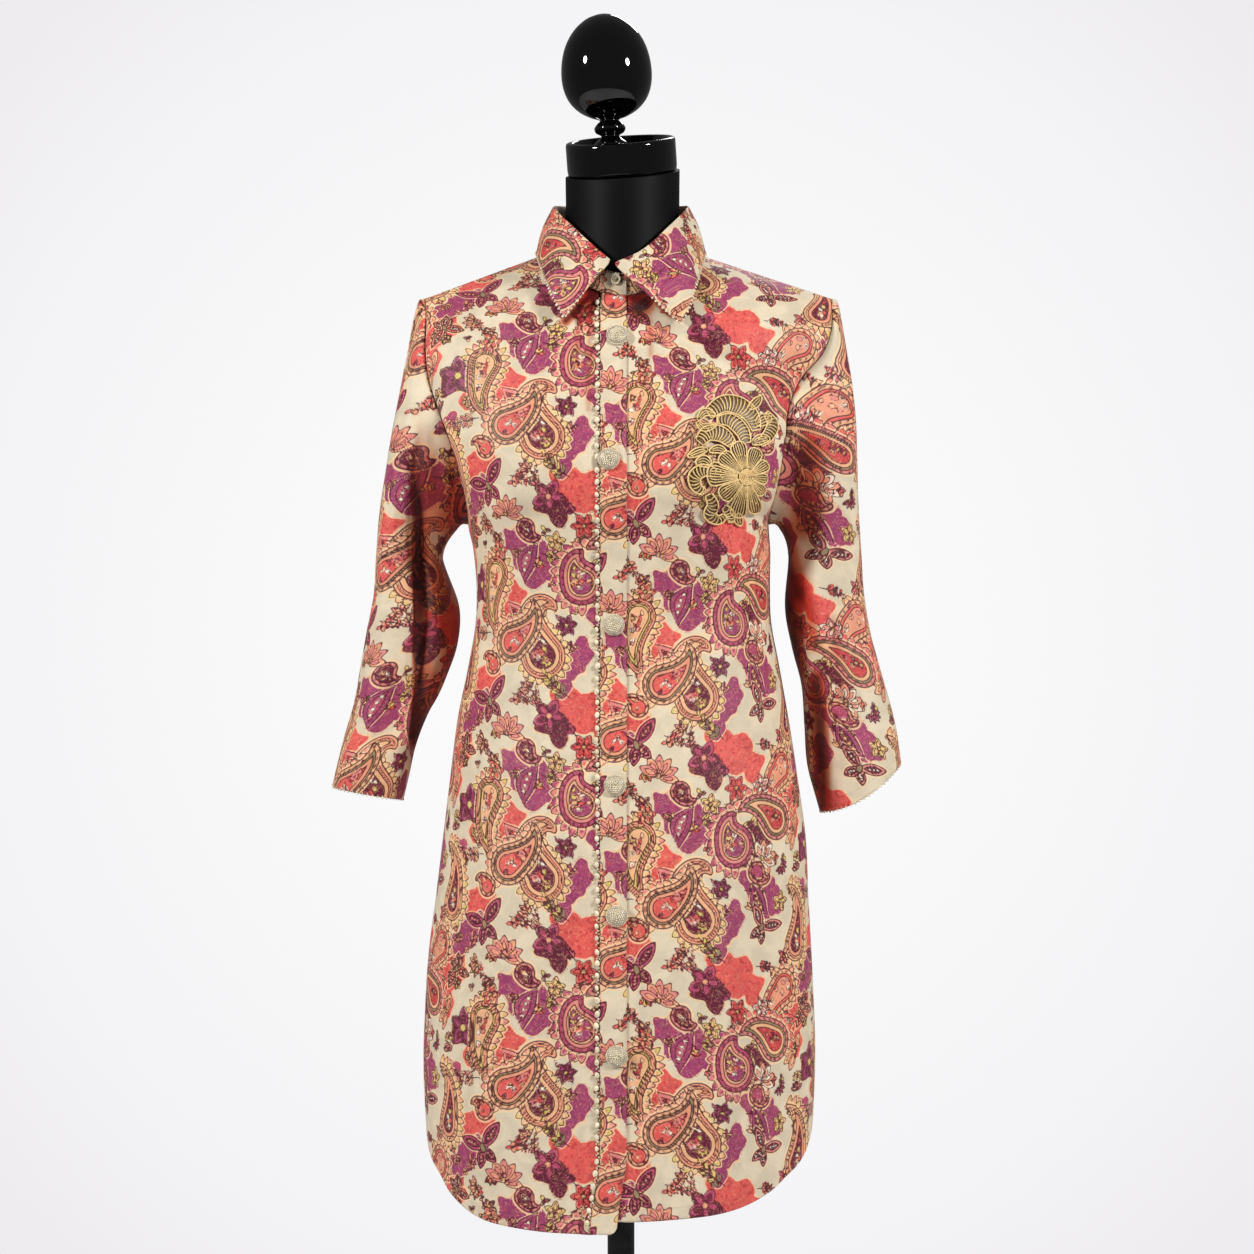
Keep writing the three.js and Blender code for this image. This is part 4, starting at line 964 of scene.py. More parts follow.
def mesh_object(name, points, faces):
    """A smooth object from points in millimetres and an array of faces with equally many corners."""
    mesh = bpy.data.meshes.new(name)
    mesh.vertices.add(len(points))
    mesh.vertices.foreach_set("co", (np.asarray(points, float) * MM).astype(np.float32).ravel())
    count, corners = faces.shape
    mesh.loops.add(count * corners)
    mesh.loops.foreach_set("vertex_index", faces.astype(np.int32).ravel())
    mesh.polygons.add(count)
    mesh.polygons.foreach_set("loop_start", np.arange(count, dtype=np.int32) * corners)
    mesh.polygons.foreach_set("loop_total", np.full(count, corners, np.int32))
    mesh.polygons.foreach_set("use_smooth", np.full(count, True))
    mesh.update(calc_edges=True)
    mesh.validate()
    obj = bpy.data.objects.new(name, mesh)
    bpy.context.scene.collection.objects.link(obj)
    return obj


def cells_of(ids):
    """The four corners of each cell of a grid of point numbers."""
    return ids[:-1, :-1], ids[:-1, 1:], ids[1:, 1:], ids[1:, :-1]


def grid_faces(ids, flip=False):
    """Quads between the rows and columns of a grid of point numbers."""
    quads = np.stack(cells_of(ids), axis=-1).reshape(-1, 4)
    return quads[:, ::-1] if flip else quads


def halved(quads):
    return np.concatenate([quads[:, :3], quads[:, [0, 2, 3]]])


def ring_ids(rows, sides):
    """Point numbers of a tube of rings, with the first column again at the end."""
    ids = np.arange(rows * sides).reshape(rows, sides)
    return np.concatenate([ids, ids[:, :1]], axis=1)


def grid_triangles(ids, grid, flip):
    """Triangles of a grid of points, each cell cut along its shorter diagonal."""
    a, b, c, d = (corner.ravel() for corner in cells_of(ids))
    rising = np.linalg.norm(grid[1:, 1:] - grid[:-1, :-1], axis=-1).ravel()
    falling = np.linalg.norm(grid[1:, :-1] - grid[:-1, 1:], axis=-1).ravel()
    short = (rising <= falling)[:, None]
    one = np.where(short, np.stack([a, b, c], axis=-1), np.stack([a, b, d], axis=-1))
    two = np.where(short, np.stack([a, c, d], axis=-1), np.stack([b, c, d], axis=-1))
    triangles = np.concatenate([one, two])
    return triangles[:, ::-1] if flip else triangles


def rim_faces(outer, inner, flip):
    """Triangles between a fine border of the outer skin and the coarse one of the inner skin."""
    faces = []
    for k in range(len(inner) - 1):
        o = outer[k * COARSE : (k + 1) * COARSE + 1]
        a, b = inner[k], inner[k + 1]
        faces += [(o[0], o[1], a), (o[1], o[2], a), (o[2], b, a), (o[2], o[3], b), (o[3], o[4], b)]
    faces = np.array(faces)
    return faces[:, ::-1] if flip else faces


def flat_area(flat):
    """Area of a grid of flat places, in square millimetres."""
    a, b = flat[1:, 1:] - flat[:-1, :-1], flat[1:, :-1] - flat[:-1, 1:]
    return abs(a[..., 0] * b[..., 1] - a[..., 1] * b[..., 0]).sum() / 2


class Cloth:
    """One piece of cloth: fine outer grids with what each point carries, closed by a coarser inner skin."""

    def __init__(self):
        self.points, self.carried, self.triangles = [], [], []
        self.count, self.area = 0, 0

    def add_points(self, points, *carried):
        """carried is the flat place, edge, inside, shade and cell, by points or as one number for all."""
        ids = self.count + np.arange(points[..., 0].size).reshape(points.shape[:2])
        self.points.append(points.reshape(-1, 3))
        columns = [np.full(ids.size, c) if np.isscalar(c) else c.reshape(ids.size, -1) for c in carried]
        self.carried.append(np.column_stack(columns))
        self.count += ids.size
        return ids

    def add(self, grid, flat, flip=False, closed=False, edge=None, thick=CLOTH, open_rows=0, beside=None,
            shade=None):
        """flip is true where the outer side is the back of the grid. The rim of the first column starts at
        open_rows; below that the column is the one of beside, the skins of the grid on its other side."""
        normals = normals_of(grid, closed, flip)
        edge = np.full(grid.shape[:2], FAR_FROM_EDGE) if edge is None else edge
        shade = np.zeros(grid.shape[:2]) if shade is None else shade
        area = flat_area(flat)
        cell = math.sqrt(area / (grid.shape[0] - 1) / (grid.shape[1] - 1))
        outer = self.add_points(grid, flat, edge, 0.0, shade, cell)
        step = np.s_[::COARSE, ::COARSE]
        below = grid[step] - normals[step] * thick
        inner = self.add_points(below, flat[step], edge[step], 1.0, shade[step], cell)
        self.area += area
        joined = open_rows // COARSE
        if closed:
            outer[:, -1], inner[:, -1] = outer[:, 0], inner[:, 0]
        if beside:
            outer[: joined * COARSE + 1, 0] = beside[0][: joined * COARSE + 1, 0]
            inner[: joined + 1, 0] = beside[1][: joined + 1, 0]
        self.triangles += [grid_triangles(outer, grid, flip), grid_triangles(inner, below, not flip)]
        self.triangles += [rim_faces(outer[0], inner[0], not flip), rim_faces(outer[-1], inner[-1], flip)]
        if not closed:
            self.triangles.append(rim_faces(outer[joined * COARSE :, 0], inner[joined:, 0], flip))
            self.triangles.append(rim_faces(outer[:, -1], inner[:, -1], not flip))
        return outer, inner

    def make(self, name, node, shift, held, rests_on):
        """shift places the piece on the printed cloth it was cut from."""
        obj = mesh_object(name, np.concatenate(self.points), np.concatenate(self.triangles))
        carried = np.concatenate(self.carried)
        flat = carried[:, :2]
        edge, inside, shade, cell = carried[:, 2:].T
        on_print = flat + shift
        painted = paint_print(*on_print.T)
        set_attribute(obj, "print_rgb", np.column_stack([painted.rgb, np.ones(len(flat))]))
        for line, drawn in (("ink", painted.ink), ("pale", painted.pale)):
            set_attribute(obj, line, drawn.across)
            set_attribute(obj, line + "_off", drawn.off / cell)
        set_attribute(obj, "flat", np.column_stack([on_print, np.zeros(len(flat))]))
        for carrier, values in (("edge", edge), ("inside", inside), ("shade", shade)):
            set_attribute(obj, carrier, values)
        seat(obj, PRINT, node)
        size = np.ptp(flat, axis=0)
        area = min(1, self.area / size.prod()) * size.prod() * MM**2


def groove(grid, normals, sides):
    """Sinks the outermost cells along the named sides, as a seam or a turned edge does."""
    sink = np.zeros(grid.shape[:2])
    for names, lines in ((("low", "high"), sink), (("first", "last"), sink.T)):
        for name, line, beside in ((names[0], 0, 1), (names[1], -1, -2)):
            if name in sides:
                lines[line] = GROOVE
                lines[beside] = np.maximum(lines[beside], GROOVE * 0.35)
    return grid - normals * sink[..., None]


def seat(obj, material, node):
    """Every piece rides on the one body, takes its material, and stands for its CAD node."""
    obj.data.materials.append(material)
    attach(obj, "root")
    if node:
        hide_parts(node)


# Materials


class Nodes:
    """Short calls that add nodes to a tree and join them."""

    def __init__(self, tree):
        self.tree = tree

    def feed(self, node, socket, value):
        if isinstance(value, bpy.types.NodeSocket):
            self.tree.links.new(value, node.inputs[socket])
        else:
            node.inputs[socket].default_value = value

    def add(self, kind, sockets, **settings):
        node = self.tree.nodes.new("ShaderNode" + kind)
        for name, value in settings.items():
            setattr(node, name, value)
        for socket, value in sockets.items():
            self.feed(node, socket, value)
        return node


class Shader(Nodes):
    """A new material; its calls return the output that the next one takes."""

    def __init__(self, name, **sockets):
        self.material = bpy.data.materials.new(name)
        self.material.use_nodes = True
        super().__init__(self.material.node_tree)
        self.surface = self.tree.nodes["Principled BSDF"]
        for socket, value in sockets.items():
            self.feed(self.surface, socket.replace("_", " "), value)

    def attribute(self, name, output="Fac"):
        return self.add("Attribute", {}, attribute_name=name).outputs[output]

    def ramp(self, value, low, high, at_low=0.0, at_high=1.0):
        sockets = {"Value": value, "From Min": low, "From Max": high, "To Min": at_low, "To Max": at_high}
        return self.add("MapRange", sockets, interpolation_type="SMOOTHSTEP").outputs[0]

    def math(self, operation, a, b=0.0):
        return self.add("Math", {0: a, 1: b}, operation=operation).outputs[0]

    def times(self, a, b):
        return self.math("MULTIPLY", a, b)

    def distance(self, value, middle):
        return self.math("ABSOLUTE", self.math("SUBTRACT", value, middle))

    def mix(self, share, a, b, blend="MIX"):
        return self.add("Mix", {0: share, 6: a, 7: b}, data_type="RGBA", blend_type=blend).outputs[2]

    def over(self, colour, tint):
        """A colour seen through a tint."""
        return self.mix(1.0, colour, tint, "MULTIPLY")

    def noise(self, vector, scale, detail, distortion=0.0):
        sockets = {"Vector": vector, "Scale": scale, "Detail": detail, "Distortion": distortion}
        return self.add("TexNoise", sockets).outputs["Fac"]

    def bump(self, height, strength, distance):
        node = self.add("Bump", {"Height": height, "Strength": strength, "Distance": distance * MM})
        self.feed(self.surface, "Normal", node.outputs[0])

    def place(self):
        """Places on the object, in millimetres."""
        where = self.add("TexCoord", {}).outputs["Object"]
        return self.add("VectorMath", {0: where, 3: 1 / MM}, operation="SCALE").outputs[0]


STITCHES_FROM_EDGE = 11.0


def rgba(code):
    return (*linear(code), 1)


def print_material():
    """Printed crepe: the painted colours as uneven dye, with fine figures in them, and crisp drawn lines.
    Painted shade darkens and reddens it where the shade attribute says, and all over the inside of the cloth.
    """
    s = Shader(
        "printed_cloth", Roughness=0.6, Specular_IOR_Level=0.35, Sheen_Weight=0.12, Sheen_Roughness=0.4,
    )
    flat = s.attribute("flat", "Vector")
    colour = s.attribute("print_rgb", "Color")
    colour = s.over(colour, s.ramp(s.noise(flat, 0.045, 3.0, 0.6), 0.32, 0.7, 0.9, 1.06))
    sockets = {"Vector": flat, "Scale": 0.16, "Randomness": 1.0}
    figures = s.add("TexVoronoi", sockets, feature="DISTANCE_TO_EDGE")
    swirls = s.noise(flat, 0.13, 1.0, 2.2)
    swirl_lines = s.ramp(s.distance(swirls, 0.5), 0.008, 0.03, 1.0, 0.0)
    cell_lines = s.ramp(figures.outputs["Distance"], 0.01, 0.06, 1.0, 0.0)
    figured = s.times(s.math("MAXIMUM", swirl_lines, cell_lines), 0.16)
    green = s.add("SeparateColor", {"Color": s.attribute("print_rgb", "Color")}).outputs["Green"]
    figured = s.times(figured, s.ramp(green, 0.4, 0.6, 1.0, 0.3))
    colour = s.mix(figured, colour, rgba("92442F"))
    dyed = s.ramp(green, 0.2, 0.4, 1.0, 0.0)
    tendrils = s.noise(flat, 0.17, 1.0, 1.2)
    tendril_lines = s.ramp(s.distance(tendrils, 0.5), 0.01, 0.03, 0.28, 0.0)
    colour = s.mix(s.times(tendril_lines, dyed), colour, rgba("F4B890"))
    for name, tint, depth in (("pale", "F2D0A4", 0.85), ("ink", "4A0818", 0.95)):
        across = s.math("ABSOLUTE", s.attribute(name))
        near = s.ramp(s.attribute(name + "_off"), 0.45, 0.7, depth, 0.0)
        colour = s.mix(s.times(s.ramp(across, 0.12, 0.52, 1.0, 0.0), near), colour, rgba(tint))
    stitches = s.distance(s.attribute("edge"), STITCHES_FROM_EDGE)
    colour = s.mix(s.ramp(stitches, 0.2, 0.7, 0.12, 0.0), colour, rgba("7A4A3A"))
    colour = s.over(colour, (1.0, 0.95, 0.9, 1))
    # Painted shade: the inside of the cloth is darkened and reddened all over.
    inner = s.over(colour, (0.45, 0.16, 0.11, 1))
    # Painted shade: the shade attribute darkens the cloth towards a deep red-brown.
    shade = s.attribute("shade")
    painted_shade_tint = s.mix(s.ramp(shade, 0.0, 0.55), (1, 1, 1, 1), (0.66, 0.22, 0.13, 1))
    painted_shade_tint = s.mix(s.ramp(shade, 0.5, 1.0), painted_shade_tint, (0.2, 0.022, 0.012, 1))
    colour = s.over(colour, painted_shade_tint)
    s.feed(s.surface, "Base Color", s.mix(s.attribute("inside"), colour, inner))
    s.bump(s.noise(flat, 0.9, 2.0), 0.25, 0.25)
    return s.material


def jersey_material():
    s = Shader(
        "black_jersey", Roughness=0.55, Specular_IOR_Level=0.1, Sheen_Weight=0.012, Sheen_Roughness=0.4,
    )
    where = s.place()
    dark, light = (0.001, 0.001, 0.0012, 1), (0.004, 0.004, 0.005, 1)
    s.feed(s.surface, "Base Color", s.mix(s.noise(where, 0.4, 3.0), dark, light))
    s.bump(s.noise(where, 1.6, 2.0), 0.3, 0.2)
    return s.material


def lacquer_material(name, rough, low="020202", high="040405"):
    s = Shader(name, Specular_IOR_Level=0.5)
    where = s.place()
    s.feed(s.surface, "Base Color", s.mix(s.noise(where, 0.05, 2.0), rgba(low), rgba(high)))
    s.feed(s.surface, "Roughness", s.ramp(s.noise(where, 0.09, 3.0), 0.3, 0.7, rough * 0.8, rough * 1.25))
    return s.material


def bead_material(name, dark, light, metal, rough):
    """Beads or thread: each point's tone runs from the dark gaps to the light tops."""
    s = Shader(name, Metallic=metal, Roughness=rough, Specular_IOR_Level=0.6)
    where = s.place()
    tone = s.times(s.attribute("tone"), s.ramp(s.noise(where, 0.35, 2.0), 0.3, 0.7, 0.8, 1.15))
    s.feed(s.surface, "Base Color", s.mix(tone, rgba(dark), rgba(light)))
    s.bump(s.noise(where, 1.1, 1.0), 0.15, 0.2)
    return s.material


PRINT = print_material()
JERSEY = jersey_material()
GLOSS = lacquer_material("black_gloss", 0.04)
PAINT = lacquer_material("black_paint", 0.32, "0A0A09", "10100F")
PEARL = bead_material("pearl_beads", "5A4020", "F4E8C8", 0.0, 0.4)
GOLD = bead_material("gold_thread", "5C3C14", "F2D08E", 0.05, 0.5)


# Cloth

HIP_ROW = len(HEM_SHARES)
NECK_CORNER = YOKE_START + NECK_ROW
PANEL_STOPS = [0, HIP_ROW, YOKE_START, NECK_CORNER, YOKE_START + ARM_ROWS]
FRONT_CELL, BACK_CELL, SLEEVE_CELL, STAND_CELL, COLLAR_CELL = 1.5, 2.7, 1.6, 1.5, 1.4
COLLAR_CLOTH = 1.2
CALM_BODY, CALM_SLEEVE = 26, 16  # how far in from its seams the folds of a piece reach their full height

# Soft folds of the body, seen from the front: the two ends (x, z), width, and rise above the cloth.
FRONT_FOLDS = [
    ((-150, 1165), (-70, 1215), 9, -2.2),
    ((-148, 1140), (-80, 1170), 8, 1.6),
    ((-120, 1160), (-95, 1060), 10, -1.8),
    ((-88, 1150), (-72, 960), 11, 1.8),
    ((-62, 1130), (-60, 900), 12, -1.6),
    ((150, 1165), (80, 1150), 9, -2.0),
    ((128, 1150), (112, 1040), 10, -2.0),
    ((100, 1140), (92, 950), 12, 1.6),
    ((52, 1110), (60, 880), 13, -1.8),
    ((-105, 900), (-125, 600), 14, 2.2),
    ((-70, 860), (-78, 560), 15, -2.0),
    ((-36, 1000), (-40, 640), 12, 1.2),
    ((36, 980), (44, 620), 13, -1.4),
    ((78, 860), (92, 580), 15, 2.2),
    ((120, 840), (140, 620), 13, -2.2),
    ((-60, 1320), (-44, 1240), 9, -1.4),
    ((70, 1330), (56, 1250), 9, 1.2),
    ((-160, 1300), (-120, 1240), 10, -1.6),
    ((168, 1290), (140, 1230), 9, -1.6),
]
# Shade under the collar and in the folds below it, as strokes: two ends (x, z), width and depth.
FRONT_SHADES = [
    ((-30, 1386), (-20, 1352), 8, 1.3),
    ((-50, 1332), (-22, 1362), 3, 1.0),
    ((10, 1384), (18, 1348), 8, 1.3),
    ((16, 1366), (46, 1339), 3, 1.0),
    ((-38, 1345), (-41, 1290), 2.2, 0.3),
    ((-28, 1340), (-29, 1250), 2.5, 0.3),
    ((26, 1340), (27, 1300), 2.5, 0.3),
    ((-19, 1340), (-19, 540), 1.2, 0.35),
]
BACK_FOLDS = [
    ((-20, 1080), (-28, 760), 14, 2.4),
    ((30, 1060), (38, 700), 15, -2.4),
    ((-80, 1120), (-92, 860), 13, -2.0),
    ((88, 1110), (100, 820), 13, 2.0),
    ((-70, 820), (-84, 580), 15, 2.2),
    ((84, 780), (98, 590), 15, -2.2),
    ((4, 700), (0, 540), 14, 2.0),
    ((-130, 1170), (-70, 1250), 12, -2.0),
    ((128, 1165), (74, 1240), 12, -2.2),
    ((-60, 1340), (60, 1345), 13, -1.2),
]


def fold_rise(grid, folds):
    """How far the given folds lift each point of a grid, and a slight unevenness everywhere."""
    x, z = grid[..., 0], grid[..., 2]
    rise = 0.35 * np.sin(x / 23 + z / 61) * np.sin(z / 37 - x / 53) + 0.2 * np.sin(x / 11 - z / 29)
    for (ax, az), (bx, bz), width, out in folds:
        dx, dz = bx - ax, bz - az
        along = ((x - ax) * dx + (z - az) * dz) / (dx * dx + dz * dz)
        aside = ((x - ax) * dz - (z - az) * dx) / math.hypot(dx, dz)
        taper = smoothstep(along, -0.1, 0.3) * (1 - smoothstep(along, 0.6, 1.15))
        sway = aside + 3 * np.sin(along * 5 + ax)
        rise += out * taper * bell(sway, width * mix(0.75, 1.3, np.clip(along, 0, 1)))
    return rise


def stroke_shade(grid, strokes):
    """How deep in shade the cloth lies under the given strokes: two ends (x, z), width and depth."""
    x, z = grid[..., 0], grid[..., 2]
    shade = np.zeros(x.shape)
    for start, end, width, depth in strokes:
        shade = np.maximum(shade, depth * bell(strand(x, z, [start, end]), width))
    return np.minimum(shade, 1)


def inset(grid, width, sides):
    """From 0 on the named sides of a grid to 1 further in than width."""
    across, up = lengths(grid, 1)[None, :], lengths(grid, 0)[:, None]
    distances = {"first": across, "last": across[:, -1:] - across, "low": up, "high": up[-1] - up}
    share = np.ones(grid.shape[:2])
    for side in sides:
        share = share * smoothstep(distances[side], 0, width)
    return share


def panel_flip(side, face):
    return (side == RIGHT) == (face == FRONT)


def panel_grid(side, face, cell, row_places=None):
    """The outer skin of a quarter of the body with its folds, and where its rows lie in the control grid."""
    control = with_phantoms(panel_control(side, face), side, face, panel_control, YOKE_START)
    grid, places = refine(control, cell, PANEL_STOPS, corner=NECK_CORNER, row_places=row_places)
    normals = normals_of(grid, flip=panel_flip(side, face))
    folds = FRONT_FOLDS if face == FRONT else BACK_FOLDS
    room = table_at(EASE, grid[..., 2])[..., 1]
    calm = ("last", "high") if face == BACK else ("first", "last", "high")
    rise = np.maximum(fold_rise(grid, folds), -room) * inset(grid, CALM_BODY, calm)
    return grid + normals * rise[..., None], places


def row_index(places, row):
    return int(np.argmin(abs(places - row)))


fronts, backs = {}, {}
fronts[RIGHT], front_places = panel_grid(RIGHT, FRONT, FRONT_CELL)
fronts[LEFT], _ = panel_grid(LEFT, FRONT, FRONT_CELL, front_places)
backs[RIGHT], back_places = panel_grid(RIGHT, BACK, BACK_CELL)
backs[LEFT], _ = panel_grid(LEFT, BACK, BACK_CELL, back_places)


def make_panel(name, node, face, parts, places, shift):
    """A panel from its grids (side, grid), the second of which goes on from the first one's centre line."""
    cloth = Cloth()
    hip = row_index(places, HIP_ROW)
    beside = None
    for side, grid in parts:
        flip = panel_flip(side, face)
        normals = normals_of(grid, flip=flip)
        flat = panel_flat(grid, side, face, hip)
        hem_up = running(steps_of(grid), 0, 0)
        sides = ("low", "high", "last") if face == BACK else ("low", "high", "last", "first")
        shaped = groove(grid, normals, sides)
        open_rows = row_index(places, NECK_CORNER) if face == BACK else 0
        shade = stroke_shade(grid, FRONT_SHADES) if face == FRONT else None
        beside = cloth.add(shaped, flat, flip, edge=hem_up, open_rows=open_rows, beside=beside, shade=shade)
    cloth.make(name, node, shift, "hung", ["form_torso"])


make_panel("right_front_cloth", "right_front", FRONT, [(RIGHT, fronts[RIGHT])], front_places, (0, 0))
make_panel("left_front_cloth", "left_front", FRONT, [(LEFT, fronts[LEFT])], front_places, (77, 38))
make_panel("back_cloth", "back", BACK, [(RIGHT, backs[RIGHT]), (LEFT, backs[LEFT])], back_places, (30, 120))


# Folds of the sleeves, front and back, as for the body.
SLEEVE_FOLDS = {
    (RIGHT, FRONT): [
        ((-166, 1246), (-176, 1165), 7, -3.5),
        ((-158, 1214), (-166, 1140), 5, 2.4),
        ((-216, 1190), (-224, 1050), 8, 1.6),
        ((-170, 1080), (-178, 990), 6, 2.6),
        ((-204, 1010), (-214, 925), 8, -2.0),
        ((-182, 1000), (-190, 930), 4, -2.6),
    ],
    (LEFT, FRONT): [
        ((146, 1212), (178, 1130), 6, -3.4),
        ((158, 1180), (172, 1090), 5, 2.8),
        ((172, 1254), (168, 1170), 7, -2.4),
        ((163, 1110), (161, 1020), 4, -3.0),
        ((180, 1100), (184, 1010), 6, 2.0),
        ((186, 1004), (190, 905), 5, -4.2),
        ((204, 980), (215, 912), 7, 2.2),
        ((206, 1170), (214, 1060), 8, -1.6),
    ],
    (RIGHT, BACK): [
        ((-160, 1220), (-178, 1130), 7, -3.2),
        ((-178, 1150), (-186, 1010), 8, 2.4),
        ((-206, 1120), (-212, 960), 8, -2.6),
    ],
    (LEFT, BACK): [
        ((158, 1216), (176, 1120), 7, -3.0),
        ((180, 1140), (190, 1000), 8, 2.6),
        ((208, 1110), (216, 950), 8, -2.4),
    ],
}
# The long crease of the right sleeve's front, by height; the cloth on its inner side lies back in the shade.
CREASE = np.array([
    (890, -192), (972, -193.5), (1059, -191), (1153, -192), (1199, -196), (1263, -186), (1310, -172),
])
# Deep folds of the left sleeve's front: two ends, width, and how deep the shade is.
LEFT_SHADES = [
    ((172, 1215), (168, 1150), 13, 0.6),
    ((150, 1138), (160, 1085), 9, 0.95),
    ((152, 1110), (161, 1015), 6, 1.0),
    ((180, 1008), (186, 890), 4.5, 0.95),
    ((169, 1088), (176, 1040), 6, 0.5),
    ((194, 1060), (202, 990), 6, 0.3),
]
# Where the shaded side of the crease catches some light: middle (x, z), half sizes, and how much.
LIT_PATCHES = [
    (-172, 1128, 8, 20, 0.5),
    (-175, 1042, 8, 22, 0.5),
    (-160, 988, 8, 26, 0.35),
]


def sleeve_form(grid, side):
    """How far folds lift each point of a sleeve, and how deep in shade the cloth lies there."""
    x, y, z = grid[..., 0], grid[..., 1], grid[..., 2]
    facing = smoothstep(-y, -16, 12)
    rise = mix(fold_rise(grid, SLEEVE_FOLDS[side, BACK]), fold_rise(grid, SLEEVE_FOLDS[side, FRONT]), facing)
    if side == RIGHT:
        inward = x - np.interp(z, CREASE[:, 0], CREASE[:, 1])
        reach = facing * smoothstep(z, 895, 960) * (1 - smoothstep(z, 1200, 1270))
        rise += reach * (2.2 * bell(inward + 4, 4) - 6.5 * bell(inward - 6, 5) + 1.6 * bell(inward - 24, 7))
        shade = 0.7 + 0.4 * bell(inward - 7, 5)
        for middle, height, wide, tall, light in LIT_PATCHES:
            shade -= light * bell(x - middle, wide) * bell(z - height, tall)
        shade = shade * smoothstep(inward, -1, 5) * smoothstep(z, 900, 950) * (1 - smoothstep(z, 1140, 1270))
    else:
        shade = stroke_shade(grid, LEFT_SHADES) * facing
    return rise * inset(grid, CALM_SLEEVE, ("low",)), np.clip(shade, 0, 1) * smoothstep(-y, -40, -10)


def even_columns(grid):
    """The same surface with the points of each column evenly apart."""
    share = np.linspace(0, 1, len(grid))
    keys = [from_zero(steps) for steps in steps_of(grid).T]
    return np.stack([rows_at(share * key[-1], key, grid[:, i]) for i, key in enumerate(keys)], axis=1)


def sleeve_flat(grid):
    """Flat places of a sleeve: around its middle line by angle, and up by height."""
    x, z = grid[..., 0], grid[..., 2]
    middle = grid[::-1, :-1].mean(axis=1)
    from_middle = grid[..., :2] - rows_at(z, middle[:, 2], middle[:, :2])
    angle = np.unwrap(np.arctan2(from_middle[..., 1], from_middle[..., 0]), axis=1)
    girth = steps_of(grid[..., :2], 1).sum(axis=1)
    outer = grid.shape[1] // 2
    around = (angle - angle[:, outer, None]) * girth[len(grid) // 2 :].mean() / (2 * math.pi)
    up = (z - grid[-1, :, 2].mean()) * 1.04 + 0.2 * abs(x)
    return np.stack([around, up], axis=-1)


cuff_rings = {}


def make_sleeve(name, node, side, shift):
    control = sleeve_control(side)
    control = np.concatenate([control[:, -2:-1], control, control[:, 1:2]], axis=1)
    grid, _ = refine(control, SLEEVE_CELL)
    grid = even_columns(grid)
    grid[:, -1] = grid[:, 0]
    flip = side == LEFT
    normals = normals_of(grid, closed=True, flip=flip)
    rise, shade = sleeve_form(grid, side)
    grid = grid + normals * rise[..., None]
    grid[:, -1] = grid[:, 0]
    normals = normals_of(grid, closed=True, flip=flip)
    from_cuff = abs(running(steps_of(grid), 0, len(grid) - 1))
    shaped = groove(grid, normals, ("low", "high"))
    cuff_rings[side] = shaped[-1], normals[-1]
    cloth = Cloth()
    cloth.add(shaped, sleeve_flat(grid), flip, closed=True, edge=from_cuff, shade=shade)
    cloth.make(name, node, shift, "hung", ["form_torso"])


make_sleeve("right_sleeve_cloth", "right_sleeve", RIGHT, (96, 186))
make_sleeve("left_sleeve_cloth", "left_sleeve", LEFT, (78, 156))


def folded_flat(grid, fold_row):
    """Flat places of a collar: along its fold, and square to that up and down each column."""
    fold = grid[fold_row]
    ahead = unit(np.gradient(fold, axis=0))
    steps = np.diff(grid, axis=0)
    across = running(steps_of(fold), 0, len(fold) // 2) + ((grid - fold) * ahead).sum(axis=-1)
    square = np.linalg.norm(steps - (steps * ahead).sum(axis=-1, keepdims=True) * ahead, axis=-1)
    return np.stack([across, -running(square, 0, fold_row)], axis=-1)


def make_strip(node, grid, flat, flip, shift, held, rests_on):
    cloth = Cloth()
    cloth.add(grid, flat, flip, thick=COLLAR_CLOTH)
    cloth.make(node + "_cloth", node, shift, held, [rests_on])


stand_grid, _ = refine(stand_control(), STAND_CELL, phantoms=False)
collar_grid, collar_places = refine(collar_control(), COLLAR_CELL, phantoms=False)
stand_flat = plain_flat(stand_grid)
collar_flat = folded_flat(collar_grid, row_index(collar_places, COLLAR_FOLD_ROW))
make_strip("collar_stand", stand_grid, stand_flat, True, (90, 30), "laid", "form_torso")
make_strip("collar", collar_grid, collar_flat, False, (198, 150), "folded", "collar_stand_cloth")


# What lies on the fronts

BAND_LIFT, BAND_EDGE_LIFT = 2.35, 1.3
BAND_CORNER, BAND_WIDE, BAND_CLOTH, BAND_CELL = 7, 24, 1.0, 1.5


def band_swing(z):
    return -9 * (1 - smoothstep(z, 512, 590))


class Front:
    """The outside of the two fronts together, read at any place (x, z)."""

    def __init__(self):
        normals = [normals_of(fronts[side], flip=panel_flip(side, FRONT)) for side in (RIGHT, LEFT)]
        self.points = np.concatenate([fronts[side].reshape(-1, 3) for side in (RIGHT, LEFT)])
        self.normals = np.concatenate([normal.reshape(-1, 3) for normal in normals])
        self.tree = KDTree(len(self.points))
        for i, (x, _, z) in enumerate(self.points):
            self.tree.insert((x, 0, z), i)
        self.tree.balance()

    def at(self, x, z):
        """Points on the cloth and its normals there."""
        x, z = np.broadcast_arrays(np.asarray(x, float), np.asarray(z, float))
        near = [self.tree.find((a, 0, b))[1] for a, b in zip(x.ravel(), z.ravel())]
        near = np.array(near).reshape(x.shape)
        point, normal = self.points[near], self.normals[near]
        slope = normal[..., 0] * (x - point[..., 0]) + normal[..., 2] * (z - point[..., 2])
        return stack(x, point[..., 1] - slope / normal[..., 1], z), normal


front = Front()


